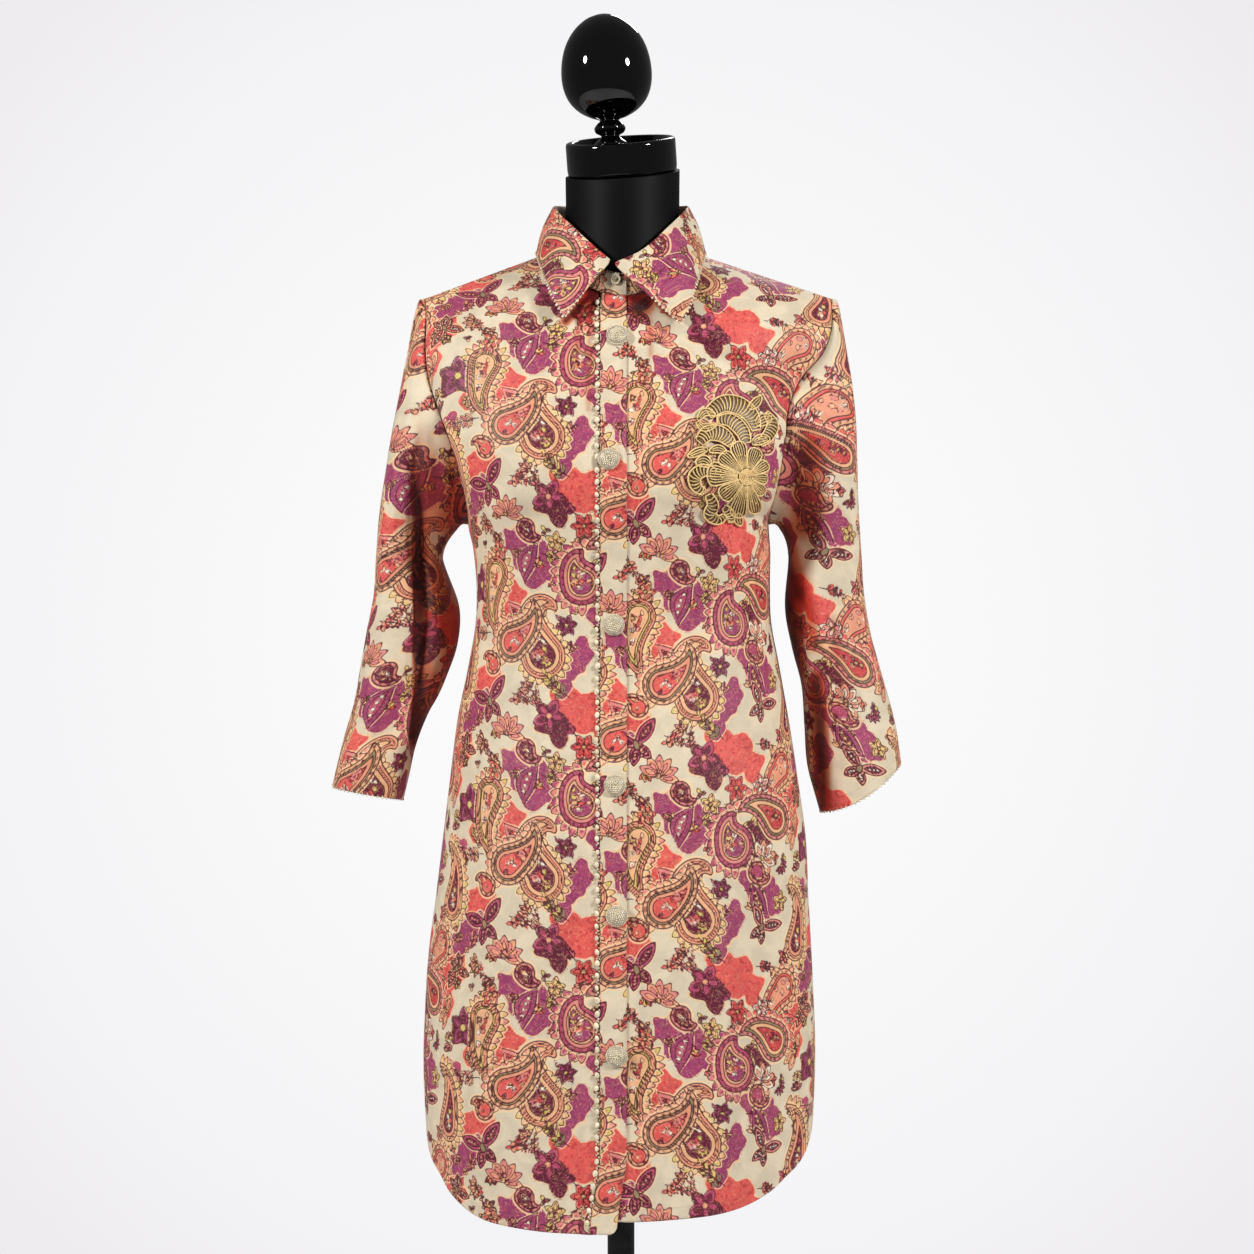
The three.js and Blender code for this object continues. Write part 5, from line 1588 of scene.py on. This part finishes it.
def make_band():
    """The button band, with turned edges and a rounded lower corner."""
    across = np.linspace(0, 1, 17)
    x = mix(FRONT_SEAM_X + 0.4, BAND_RIGHT_X, across)
    low = np.full(x.shape, HEM[RIGHT, FRONT][0])
    past = np.maximum(x - (BAND_RIGHT_X - BAND_CORNER), 0)
    low += BAND_CORNER - np.sqrt(BAND_CORNER**2 - np.minimum(past, BAND_CORNER * 0.98) ** 2)
    high = neck_point(np.degrees(np.arcsin(x / NECK_HALF)))[:, 2] - 1
    rows = COARSE * round((high[0] - low[0]) / BAND_CELL / COARSE)
    z = mix(low, high, np.linspace(0, 1, rows + 1)[:, None])
    on_cloth, normals = front.at(x + band_swing(z), z)
    from_edge = smoothstep(np.minimum(across, 1 - across) * BAND_WIDE, 0, 2.2)
    pucker = 0.12 * np.sin(z / 4.1 + 2 * np.sin(z / 37)) * np.sin(across * math.pi)
    lift = mix(BAND_EDGE_LIFT, BAND_LIFT, from_edge) + pucker
    grid = on_cloth + normals * lift[..., None]
    cloth = Cloth()
    cloth.add(grid, stack(x, z, 0)[..., :2], thick=BAND_CLOTH)
    cloth.make("button_band_cloth", "button_band", (140, 90), "laid", ["right_front_cloth"])


make_band()


def frame_on(normal, turn=0.0):
    """Rows side, up and out of a frame on the cloth, turned by some degrees."""
    up = unit(np.array([0, 0, 1.0]) - normal * normal[2])
    return np.array([*turned(np.cross(up, normal), up, turn), normal])


def circle_of(count):
    return np.linspace(0, 2 * math.pi, count, endpoint=False)


def turned_shape(profile, sides):
    """Points and triangles of a turned body whose profile starts and ends on its axis."""
    turn = circle_of(sides)
    rings = [[(0, 0, profile[0][1])]]
    rings += [[(r * math.cos(t), r * math.sin(t), h) for t in turn] for r, h in profile[1:-1]]
    rings += [[(0, 0, profile[-1][1])]]
    points = np.array([p for ring in rings for p in ring])
    last = len(points) - 1
    faces = []
    for j in range(sides):
        k = (j + 1) % sides
        faces.append((0, 1 + k, 1 + j))
        faces.append((last, last - sides + j, last - sides + k))
        for i in range(len(profile) - 3):
            a, b = 1 + i * sides, 1 + (i + 1) * sides
            faces += [(a + j, a + k, b + k), (a + j, b + k, b + j)]
    return points, np.array(faces)


def ball_shape(rings, sides):
    angle = np.linspace(-math.pi / 2, math.pi / 2, rings + 1)
    return turned_shape([(math.cos(a), math.sin(a)) for a in angle], sides)


BALL, FINE_BALL = ball_shape(5, 8), ball_shape(10, 16)
CORD_SIDES = 6
DOME = turned_shape([(0, 0), (0.92, 0), (1, 0.22), (0.96, 0.5), (0.8, 0.78), (0.5, 0.94), (0, 1)], 32)


class Trim:
    """Many small bodies and cords gathered in one mesh, each with a tone for its material."""

    def __init__(self):
        self.points, self.faces, self.tones = [], [], []
        self.count = 0

    def gather(self, points, faces, tone):
        self.points.append(points)
        self.faces.append(faces + self.count)
        self.tones.append(np.broadcast_to(tone, len(points)))
        self.count += len(points)

    def body(self, shape, centre, frame, half, tone):
        self.gather(centre + (shape[0] * half) @ frame, shape[1], tone)

    def cord(self, points, normals, radius, tone):
        """A cord along points, with its own radius at each; it narrows to nothing at both ends."""
        along = unit(np.gradient(points, axis=0))
        aside = unit(np.cross(along, normals))
        out = np.cross(aside, along)
        radius = np.broadcast_to(radius, len(points)).copy()
        radius[[0, -1]] *= 0.3
        turn = circle_of(CORD_SIDES)[None, :, None]
        around = np.cos(turn) * aside[:, None] + np.sin(turn) * out[:, None]
        ring = points[:, None] + radius[:, None, None] * around
        ids = ring_ids(len(points), CORD_SIDES)
        caps = [(ids[0, 0], ids[0, j + 1], ids[0, j]) for j in range(1, CORD_SIDES - 1)]
        caps += [(ids[-1, 0], ids[-1, j], ids[-1, j + 1]) for j in range(1, CORD_SIDES - 1)]
        self.gather(ring.reshape(-1, 3), np.concatenate([halved(grid_faces(ids)), caps]), tone)

    def make(self, name, slot, material, node=None):
        obj = mesh_object(name, np.concatenate(self.points), np.concatenate(self.faces))
        set_attribute(obj, "tone", np.concatenate(self.tones))
        seat(obj, material, node)


def make_bead_trim():
    """A bead, a knot and a small loop of thread, over and over along the band's seam."""
    rng = np.random.default_rng(4)
    trim = Trim()
    count = round((TRIM_HIGH - TRIM_LOW) / TRIM_PITCH)
    for i in range(count):
        z = TRIM_LOW + (i + 0.5) * TRIM_PITCH + rng.uniform(-0.8, 0.8)
        x = TRIM_X + 0.9 + band_swing(z) + rng.uniform(-0.6, 0.6)
        on_cloth, normal = front.at(x, z)
        frame = frame_on(normal, rng.uniform(-18, 18))
        half = np.array([2.1, 2.9, 1.7]) * rng.uniform(0.82, 1.12)
        trim.body(FINE_BALL, on_cloth + normal * 1.8, frame, half, rng.uniform(0.8, 1.0))
        for rise, aside, size in ((-4.2, 1.1, 1.0), (-5.8, -0.3, 0.9), (3.7, 1.8, 0.8)):
            spot, normal = front.at(x + aside, z + rise)
            half = (size, size * 1.2, size * 0.8)
            trim.body(BALL, spot + normal * 1.3, frame_on(normal), half, rng.uniform(0.45, 0.8))
        turn = np.linspace(-1.3, 1.3, 9)
        spots, normals = front.at(x + 2.2 + 1.5 * np.cos(turn), z - 1 + 3.4 * np.sin(turn))
        trim.cord(spots + normals * 1.4, normals, 0.45, 0.55)
    trim.make("bead_trim_beads", "pearl_beads", PEARL, "bead_trim")


make_bead_trim()


BUTTON_RADIUS, BUTTON_HEIGHT = 10, 5.5
BUTTON_FOOT = 3.0  # above the cloth under the band


def dome_height(reach):
    return (BUTTON_HEIGHT - 0.9) * (1 - np.clip(reach / BUTTON_RADIUS, 0, 1) ** 2.8)


def place_bead(trim, foot, frame, a, b, half_wide, half_long, turn, tone):
    height = max(dome_height(math.hypot(a, b)), 0.7)
    centre = foot + frame[0] * a + frame[1] * b + frame[2] * height
    axes = np.array([*turned(frame[0], frame[1], turn), frame[2]])
    trim.body(BALL, centre, axes, (half_wide, half_long, half_wide), tone)


SWIRL_MIDDLE, SWIRL_REACH = np.array([-2.4, -4.2]), 5.0
SWIRL_RINGS = ((1, 0, 1.1), (7, 2.0, 0.85), (13, 3.7, 0.8))  # beads, radius of the ring and of its beads
BEAD_ROWS, BEAD_COLUMNS, ROW_PITCH, COLUMN_PITCH = 6, 5, 1.62, 2.15
RIM_BEADS = 34


def make_button(number, x, z):
    """A dome of fine beads in slanting rows, with a swirl of larger ones to one side."""
    rng = np.random.default_rng(number)
    trim = Trim()
    on_cloth, normal = front.at(x, z)
    foot = on_cloth + normal * BUTTON_FOOT
    frame = frame_on(normal, number * 67)
    trim.body(DOME, foot, frame, (BUTTON_RADIUS - 0.7, BUTTON_RADIUS - 0.7, BUTTON_HEIGHT - 1.1), 0.4)
    for ring, (count, radius, size) in enumerate(SWIRL_RINGS):
        for k in range(count):
            angle = 2 * math.pi * k / count + ring
            a, b = SWIRL_MIDDLE + radius * np.array([math.cos(angle), math.sin(angle)])
            place_bead(trim, foot, frame, a, b, size, size, 0, rng.uniform(0.8, 0.95))
    for row in range(-BEAD_ROWS, BEAD_ROWS + 1):
        for column in range(-BEAD_COLUMNS, BEAD_COLUMNS + 1):
            a = row * ROW_PITCH
            b = column * COLUMN_PITCH + (row % 2) * 1.07 + rng.uniform(-0.2, 0.2)
            in_swirl = math.hypot(a - SWIRL_MIDDLE[0], b - SWIRL_MIDDLE[1]) < SWIRL_REACH
            if math.hypot(a, b) > BUTTON_RADIUS - 0.9 or in_swirl:
                continue
            place_bead(trim, foot, frame, a, b, 0.7, 1.15, 24, rng.uniform(0.85, 1.0))
    for k in range(RIM_BEADS):
        angle = 2 * math.pi * k / RIM_BEADS
        a, b = (BUTTON_RADIUS - 0.75) * math.cos(angle), (BUTTON_RADIUS - 0.75) * math.sin(angle)
        place_bead(trim, foot, frame, a, b, 0.85, 0.85, 0, rng.uniform(0.7, 0.95))
    trim.make(f"button_{number}_beads", "pearl_beads", PEARL, f"button_{number}")


for number, (button_x, button_z) in enumerate(BUTTON_PLACES, 1):
    make_button(number, button_x, button_z)


STAND_BUTTON_TURN, STAND_BUTTON_SHARE = -4, 0.75


def make_stand_button():
    """A dark oval stone in a ring of pale beads, with a pale bead on the stone as a painted highlight, and
    three small stones over it.
    """
    turn = math.radians(STAND_BUTTON_TURN)
    normal = unit(np.array([math.sin(turn), -math.cos(turn), 0.1]))
    foot = stand_point(STAND_BUTTON_TURN, STAND_BUTTON_SHARE, 1) + normal * 0.65
    frame = frame_on(normal)
    trim = Trim()
    middle = foot - frame[1] * 1.0
    trim.body(DOME, middle, frame, (4.4, 4.9, 1.6), 0.5)
    trim.body(FINE_BALL, middle + normal * 1.2, frame, (2.1, 2.5, 1.6), 0.12)
    # A small pale bead on the dark stone: a painted highlight.
    trim.body(BALL, middle + normal * 2.6 + frame[0] * 0.5 + frame[1] * 0.9, frame, (0.6, 0.6, 0.4), 1.0)
    for k in range(14):
        angle = 2 * math.pi * k / 14
        spot = middle + frame[0] * 3.7 * math.cos(angle) + frame[1] * 4.2 * math.sin(angle) + normal * 1.5
        trim.body(BALL, spot, frame, (0.95, 0.95, 0.95), 0.9)
    for aside, up in ((-2.3, 4.9), (0.2, 5.3), (2.6, 4.7)):
        spot = foot + frame[0] * aside + frame[1] * up * 0.85 + normal * 1.1
        trim.body(BALL, spot, frame, (1.3, 1.1, 1.1), 0.45)
    trim.make("stand_button_beads", "pearl_beads", PEARL, "stand_button")


make_stand_button()


def make_picots(name, path, normals, inward, pitch=4.4):
    """Small pale loops along an edge: path and normals on it, and directions from it into the cloth."""
    keys = from_zero(np.linalg.norm(np.diff(path, axis=0), axis=1))
    rng = np.random.default_rng(len(name))
    trim = Trim()
    for at in np.arange(pitch / 2, keys[-1], pitch):
        spot, normal, into = (rows_at(at, keys, rows) for rows in (path, normals, inward))
        normal, into = unit(normal), unit(into)
        frame = np.array([np.cross(into, normal), into, normal])
        size = rng.uniform(0.75, 1.15)
        for inside, rise, half, tones in (
            (-0.1, 0.1, (1.15, 1.25, 0.8), (0.7, 0.95)),
            (1.7, 0.25, (0.6, 0.6, 0.4), (0.5, 0.75)),
        ):
            middle = spot + into * inside + normal * rise
            trim.body(BALL, middle, frame, np.array(half) * size, rng.uniform(*tones))
    trim.make(name, "pearl_beads", PEARL)


def make_edge_picots():
    normals = normals_of(collar_grid)
    make_picots("collar_picots", collar_grid[-1], normals[-1], collar_grid[-4] - collar_grid[-1])
    first = len(collar_grid) * 2 // 3
    for name, column, step in (("collar_right_point_picots", 0, 3), ("collar_left_point_picots", -1, -3)):
        edge = collar_grid[first:, column]
        make_picots(name, edge, normals[first:, column], collar_grid[first:, column + step] - edge)
    for side, name in ((RIGHT, "right_cuff_picots"), (LEFT, "left_cuff_picots")):
        ring, ring_normals = cuff_rings[side]
        make_picots(name, ring, ring_normals, np.broadcast_to([0, 0, 1.0], ring.shape), 4.8)


make_edge_picots()


# The flower sewn on the left front

FLOWER_X, FLOWER_Z = 112, 1190
# Petals around its middle: direction and half spread in degrees, reach, and number of ribs.
PETALS = [
    (176, 21, 35, 7), (140, 17, 30, 5), (106, 16, 32, 5), (70, 17, 27, 5), (34, 17, 23, 4),
    (-3, 17, 19, 3), (-40, 17, 21, 4), (-72, 14, 32, 4), (-104, 15, 36, 5), (-142, 18, 29, 5),
]
# Leaves and scrolls: middle line from the flower's middle, half width, and the pitch of their cross ribs.
SCROLLS = [
    ([(-28, 3), (-38, 5), (-46, 0), (-45, -9), (-38, -14)], 5.6, 2.9),
    ([(-34, -16), (-30, -25), (-33, -33), (-26, -38), (-19, -34)], 5.2, 2.9),
    ([(-42, 30), (-34, 38), (-22, 37), (-12, 28)], 7.0, 2.8),
    ([(-34, 56), (-20, 65), (-5, 63), (5, 54), (9, 42)], 8.0, 3.0),
    ([(0, 30), (-4, 41), (-14, 50), (-26, 50)], 6.4, 2.9),
    ([(-20, -26), (-14, -33), (-14, -40)], 4.0, 2.7),
    ([(12, 30), (20, 38), (24, 48), (18, 58)], 5.4, 2.8),
]
# Small leaves: middle line, half width, and number of lengthwise ribs.
SMALL_LEAVES = [
    ([(-35, 24), (-44, 21), (-52, 17)], 3.6, 2),
    ([(-32, 9), (-38, 13), (-45, 11)], 5.2, 3),
    ([(-18, 21), (-25, 24), (-33, 22)], 3.6, 2),
    ([(9, 47), (16, 52), (23, 53)], 5.2, 3),
    ([(3, 61), (9, 67), (14, 73)], 3.8, 2),
    ([(5, 30), (13, 34), (21, 35)], 4.4, 3),
    ([(-6, -31), (-7, -37), (-5, -43)], 4.0, 2),
    ([(-43, 50), (-37, 57), (-28, 55)], 3.4, 2),
    ([(-44, 48), (-38, 43), (-27, 46)], 3.4, 2),
]
PLATE_LIFT, CORD_LIFT, CORD_RADIUS, RIB_RADIUS = 0.9, 2.1, 0.8, 0.62
LINE_PITCH = 1.5


def on_flower(places):
    return front.at(FLOWER_X + places[..., 0], FLOWER_Z + places[..., 1])


def sew_cord(trim, places, tone, radius=CORD_RADIUS, lift=CORD_LIFT):
    points, normals = on_flower(places)
    trim.cord(points + normals * lift, normals, radius, tone)


def smooth_line(points):
    points = np.array(points, float)
    keys = line_keys(points)
    return spline(keys, points, np.linspace(0, keys[-1], max(6, round(keys[-1] / LINE_PITCH) + 1)))


def sew_leaf(trim, rng, line, width, ribs=0, cross_pitch=0):
    """A low dark plate with a cord around it, and ribs along it or across it. width is half its width at
    each point of line."""
    along = unit(np.gradient(line, axis=0))
    aside = np.stack([-along[:, 1], along[:, 0]], axis=-1) * width[:, None]
    columns = np.linspace(-1, 1, 7)
    points, normals = on_flower(line[:, None] + aside[:, None] * columns[None, :, None])
    rise = PLATE_LIFT + 0.6 * (1 - columns**2)
    grid = points + normals * rise[None, :, None]
    ids = np.arange(grid[..., 0].size).reshape(grid.shape[:2])
    trim.gather(grid.reshape(-1, 3), halved(grid_faces(ids, flip=True)), 0.04)
    border = np.concatenate([line + aside, (line - aside)[::-1], (line + aside)[:1]])
    sew_cord(trim, border, rng.uniform(0.85, 1.0))
    for share in np.linspace(-1, 1, ribs + 2)[1:-1]:
        sew_cord(trim, (line + aside * share * 0.94)[1:-1], rng.uniform(0.6, 1.0), RIB_RADIUS)
    if cross_pitch:
        keys = line_keys(line)
        share = np.linspace(-0.95, 0.95, 7)[:, None]
        for at in np.arange(cross_pitch, keys[-1] - cross_pitch / 2, cross_pitch):
            middle, ahead, out = (rows_at(at, keys, rows) for rows in (line, along, aside))
            bowed = middle + out * share + ahead * (1 - share**2) * 1.8
            sew_cord(trim, bowed, rng.uniform(0.6, 1.0), RIB_RADIUS)


def make_flower():
    rng = np.random.default_rng(8)
    trim = Trim()
    for aim, spread, reach, ribs in PETALS:
        radius = np.linspace(6, reach, 18)
        angle = math.radians(aim)
        line = radius[:, None] * np.array([math.cos(angle), math.sin(angle)])
        ending = np.sqrt(np.clip(1 - ((radius - reach * 0.72) / (reach * 0.29)).clip(0) ** 2, 0.03, 1))
        sew_leaf(trim, rng, line, radius * math.tan(math.radians(spread)) * ending, ribs)
    for points, half, pitch in SCROLLS:
        line = smooth_line(points)
        share = np.linspace(0, 1, len(line))
        sew_leaf(trim, rng, line, half * np.sin(math.pi * mix(0.12, 0.93, share)) ** 0.5, cross_pitch=pitch)
    for points, half, ribs in SMALL_LEAVES:
        line = smooth_line(points)
        share = np.linspace(0, 1, len(line))
        sew_leaf(trim, rng, line, half * np.sin(math.pi * mix(0.06, 0.95, share)) ** 0.7, ribs)
    turn = np.linspace(0, 2 * math.pi, 25)
    circle = np.stack([np.cos(turn), np.sin(turn)], axis=-1)
    for radius in (6.4, 4.9, 3.3, 1.7):
        sew_cord(trim, circle * radius, rng.uniform(0.8, 1.0), 0.85, CORD_LIFT + 0.25)
    middle, normal = on_flower(np.zeros(2))
    trim.body(DOME, middle + normal * PLATE_LIFT, frame_on(normal), (6, 6, 1.1), 0.2)
    trim.body(BALL, middle + normal * (CORD_LIFT + 0.4), frame_on(normal), (1.1, 1.1, 0.9), 1.0)
    for _ in range(46):
        aim, reach = rng.uniform(0, 2 * math.pi), rng.uniform(8, 24)
        spot, normal = on_flower(reach * np.array([math.cos(aim), math.sin(aim)]))
        trim.body(BALL, spot + normal * (CORD_LIFT + 0.5), frame_on(normal), (0.75, 0.75, 0.6), 1.0)
    trim.make("sewn_flower_cords", "gold_thread", GOLD, "sewn_flower")


make_flower()


# The dress form


def lathe_object(name, profile, sides=72):
    """A turned body from (radius, height) pairs, smooth between them."""
    profile = np.array(profile, float)
    turn = circle_of(sides)
    points = stack(profile[:, :1] * np.cos(turn), profile[:, :1] * np.sin(turn), profile[:, 1:2] + 0 * turn)
    ids = ring_ids(len(profile), sides)
    return mesh_object(name, points.reshape(-1, 3), grid_faces(ids))


def place(obj, origin, up):
    """Moves a made mesh to its seat, turned from +Z to up."""
    turn = Vector((0, 0, 1)).rotation_difference(Vector(up)).to_matrix().to_4x4()
    obj.data.transform(turn)
    obj.data.transform(Matrix.Translation(Vector(origin) * MM))


FORM_SHOULDER = len(FORM_ROWS) - 1
FORM_CELL = 7


def form_skin(side, face):
    control = with_phantoms(form_control(side, face), side, face, form_control, FORM_SHOULDER)
    corner = FORM_SHOULDER + NECK_ROW
    grid, places = refine(control, FORM_CELL, [0, corner, len(control) - 1], corner=corner)
    normals = normals_of(grid, flip=panel_flip(side, face))
    room = table_at(EASE, grid[..., 2])[..., 1] + CAD_CLOTH
    return grid - normals * room[..., None], places


def neck_top(x, y):
    slope_y, slope_x = math.tan(math.radians(CAP_TILT_FORWARD)), math.tan(math.radians(CAP_TILT_SIDE))
    return FORM_NECK_TOP + (y - FORM_NECK_Y) * slope_y + (x - FORM_NECK_X) * slope_x


def arm_plate(skins, side):
    """The slightly domed plate that closes the form where a sleeve begins."""
    at = np.linspace(FORM_SHOULDER, FORM_SHOULDER + ARM_ROWS, 41)
    edges = [rows_at(at, places, grid[:, -1]) for grid, places in (skins[side, FRONT], skins[side, BACK])]
    share = np.linspace(0, 1, 9)
    plate = mix(edges[0][:, None], edges[1][:, None], share[None, :, None])
    bulge = 5 * np.sin(share * math.pi)[None] * np.sin((at - at[0]) / np.ptp(at) * math.pi)[:, None]
    plate[..., 0] += side * bulge
    return plate


def neck_column():
    """The form's neck from the neckline up to its tilted top."""
    turn = np.radians(np.linspace(-180, 180, 121))
    foot = neck_point(np.degrees(turn)) - stack(2.5 * np.sin(turn), -2.5 * np.cos(turn), 0)
    x, y = FORM_NECK_X + FORM_NECK_HALF * np.sin(turn), FORM_NECK_Y - FORM_NECK_DEPTH * np.cos(turn)
    column = stack(x, y, 0)
    rows = [foot]
    for share, rise in ((0.72, 9), (1, 26)):
        row = mix(foot, column, share)
        row[:, 2] = foot[:, 2] + rise
        rows.append(row)
    column[:, 2] = neck_top(column[:, 0], column[:, 1])
    neck, _ = refine(np.array([*rows, column]), 2.5, phantoms=False)
    return neck


def make_form():
    """The form's closed skin: four quarters, arm plates, the flat underside, the neck and its top."""
    skins = {(side, face): form_skin(side, face) for side in (RIGHT, LEFT) for face in (FRONT, BACK)}
    sheets = [(grid, panel_flip(*at)) for at, (grid, _) in skins.items()]
    sheets += [(arm_plate(skins, side), side == RIGHT) for side in (RIGHT, LEFT)]
    for at, (grid, _) in skins.items():
        hub = np.broadcast_to([0, 0, FORM_ROWS[0]], grid[0].shape)
        sheets.append((np.array([hub, grid[0]]), panel_flip(*at)))
    neck = neck_column()
    hub = np.broadcast_to([FORM_NECK_X, FORM_NECK_Y, FORM_NECK_TOP], neck[-1].shape)
    sheets += [(neck, False), (np.array([neck[-1], hub]), False)]
    faces, count = [], 0
    for grid, flip in sheets:
        faces.append(grid_faces(count + np.arange(grid[..., 0].size).reshape(grid.shape[:2]), flip))
        count += grid[..., 0].size
    points = np.concatenate([grid.reshape(-1, 3) for grid, _ in sheets])
    obj = mesh_object("form_torso_jersey", points, np.concatenate(faces))
    seat(obj, JERSEY, "form_torso")


make_form()

CAP_PROFILE = [
    (0, 0), (48.5, 0), (50, 0.6), (50.6, 2), (51, 6), (51, 28), (50.4, 30.2), (49, 31), (46.5, 31),
    (45, 30.3), (44.3, 29), (43, 25.5), (40, 23), (34, 22.2), (0, 22),
]
FINIAL_PROFILE = np.array([
    (0, 0), (15, 0), (15.5, 3), (11, 7), (8.5, 10), (13, 13), (14.5, 17), (12, 21), (9, 24.5), (18, 28),
    (28, 34), (36, 43), (40.5, 54), (42, 67), (40.5, 82), (36, 96), (28, 108.5), (17.5, 117.5), (8, 121.4),
    (0, 123),
], float)
CAP_RISE, FINIAL_RISE, FINIAL_ASIDE = 0.3, 25.2, (-9, 0, -0.6)
FINIAL_LEAN_SIDE, FINIAL_LEAN_FORWARD = 3.5, 2


def tilted(side_degrees, forward_degrees):
    aside, forward = math.tan(math.radians(side_degrees)), math.tan(math.radians(forward_degrees))
    return Vector((-aside, -forward, 1)).normalized()


def make_cap_and_finial():
    cap = lathe_object("form_neck_cap_gloss", CAP_PROFILE)
    up = tilted(CAP_TILT_SIDE, CAP_TILT_FORWARD)
    foot = Vector((FORM_NECK_X, FORM_NECK_Y, FORM_NECK_TOP)) + up * CAP_RISE
    place(cap, foot, up)
    seat(cap, GLOSS, "form_neck_cap")
    keys = np.arange(len(FINIAL_PROFILE), dtype=float)
    profile = spline(keys, FINIAL_PROFILE, np.linspace(0, keys[-1], 8 * (len(keys) - 1) + 1))
    profile[:, 0] = np.maximum(profile[:, 0], 0)
    finial = lathe_object("form_finial_gloss", profile)
    lean = tilted(FINIAL_LEAN_SIDE, FINIAL_LEAN_FORWARD)
    place(finial, foot + up * FINIAL_RISE + Vector(FINIAL_ASIDE), lean)
    seat(finial, GLOSS, "form_finial")


make_cap_and_finial()


POLE_PROFILE = [(0, 12.3), (12.2, 12.3), (12.5, 12.8), (12.5, 649), (12.2, 649.7), (0, 649.7)]
BASE_PROFILE = [(0, 0), (163.5, 0), (165, 1.2), (165, 9), (164.2, 10.8), (162, 12), (0, 12)]


def make_pole_and_base():
    seat(lathe_object("form_pole_paint", POLE_PROFILE, 48), PAINT, "form_pole")
    seat(lathe_object("form_base_paint", BASE_PROFILE, 160), PAINT, "form_base")


make_pole_and_base()


# Camera, light and floor


SENSOR = 36
PHOTO_FOCAL, PHOTO_HIGH = 3226, 1254  # both in the photo's pixels


def add_camera():
    data = bpy.data.cameras.new("camera")
    data.sensor_width = SENSOR
    data.lens = SENSOR * PHOTO_FOCAL / PHOTO_HIGH
    camera = bpy.data.objects.new("camera", data)
    camera.location = (0.0056, -3.0, 1.055)
    camera.rotation_euler = (math.radians(90), 0, 0)
    bpy.context.scene.collection.objects.link(camera)
    bpy.context.scene.camera = camera


def add_light(name, location, target, size, power):
    data = bpy.data.lights.new(name, "AREA")
    data.shape = "DISK"
    data.size = size
    data.energy = power
    light = bpy.data.objects.new(name, data)
    light.location = location
    light.rotation_euler = (Vector(target) - Vector(location)).to_track_quat("-Z", "Y").to_euler()
    bpy.context.scene.collection.objects.link(light)


def add_world():
    """A pale backdrop that darkens a little away from straight ahead, and dimmer light from all around."""
    world = bpy.data.worlds.new("studio")
    bpy.context.scene.world = world
    world.use_nodes = True
    n = Nodes(world.node_tree)
    around = n.tree.nodes["Background"]
    n.feed(around, "Color", (0.93, 0.92, 0.94, 1))
    n.feed(around, "Strength", 0.16)
    direction = n.add("TexCoord", {}).outputs["Generated"]
    ahead = n.add("VectorMath", {0: direction, 1: (0, 1, 0)}, operation="DOT_PRODUCT").outputs["Value"]
    fade = n.add("MapRange", {"Value": ahead, "From Min": 0.962, "From Max": 1.0}).outputs[0]
    sockets = {0: fade, 6: (0.84, 0.82, 0.85, 1), 7: (0.965, 0.965, 0.97, 1)}
    tint = n.add("Mix", sockets, data_type="RGBA").outputs[2]
    backdrop = n.add("Background", {"Color": tint}).outputs[0]
    seen = n.add("LightPath", {}).outputs["Is Camera Ray"]
    blend = n.add("MixShader", {0: seen, 1: around.outputs[0], 2: backdrop}).outputs[0]
    n.feed(n.tree.nodes["World Output"], "Surface", blend)


add_camera()
add_world()
add_light("left_softbox", (-2.2, -1.5, 2.35), (0, 0, 1.1), 0.42, 70)
add_light("right_softbox", (2.2, -1.5, 2.35), (0, 0, 1.1), 0.42, 70)
add_light("back_softbox", (0.5, 2.3, 2.9), (0, 0, 1.0), 0.8, 18)

floor = lathe_object("studio_floor", [(0, -0.5), (2150, -0.5), (2200, -30)], 128)
floor.data.materials.append(lacquer_material("studio_floor", 0.7, "EAE8EC", "EFEDF0"))
bpy.context.scene.view_settings.view_transform = "Standard"
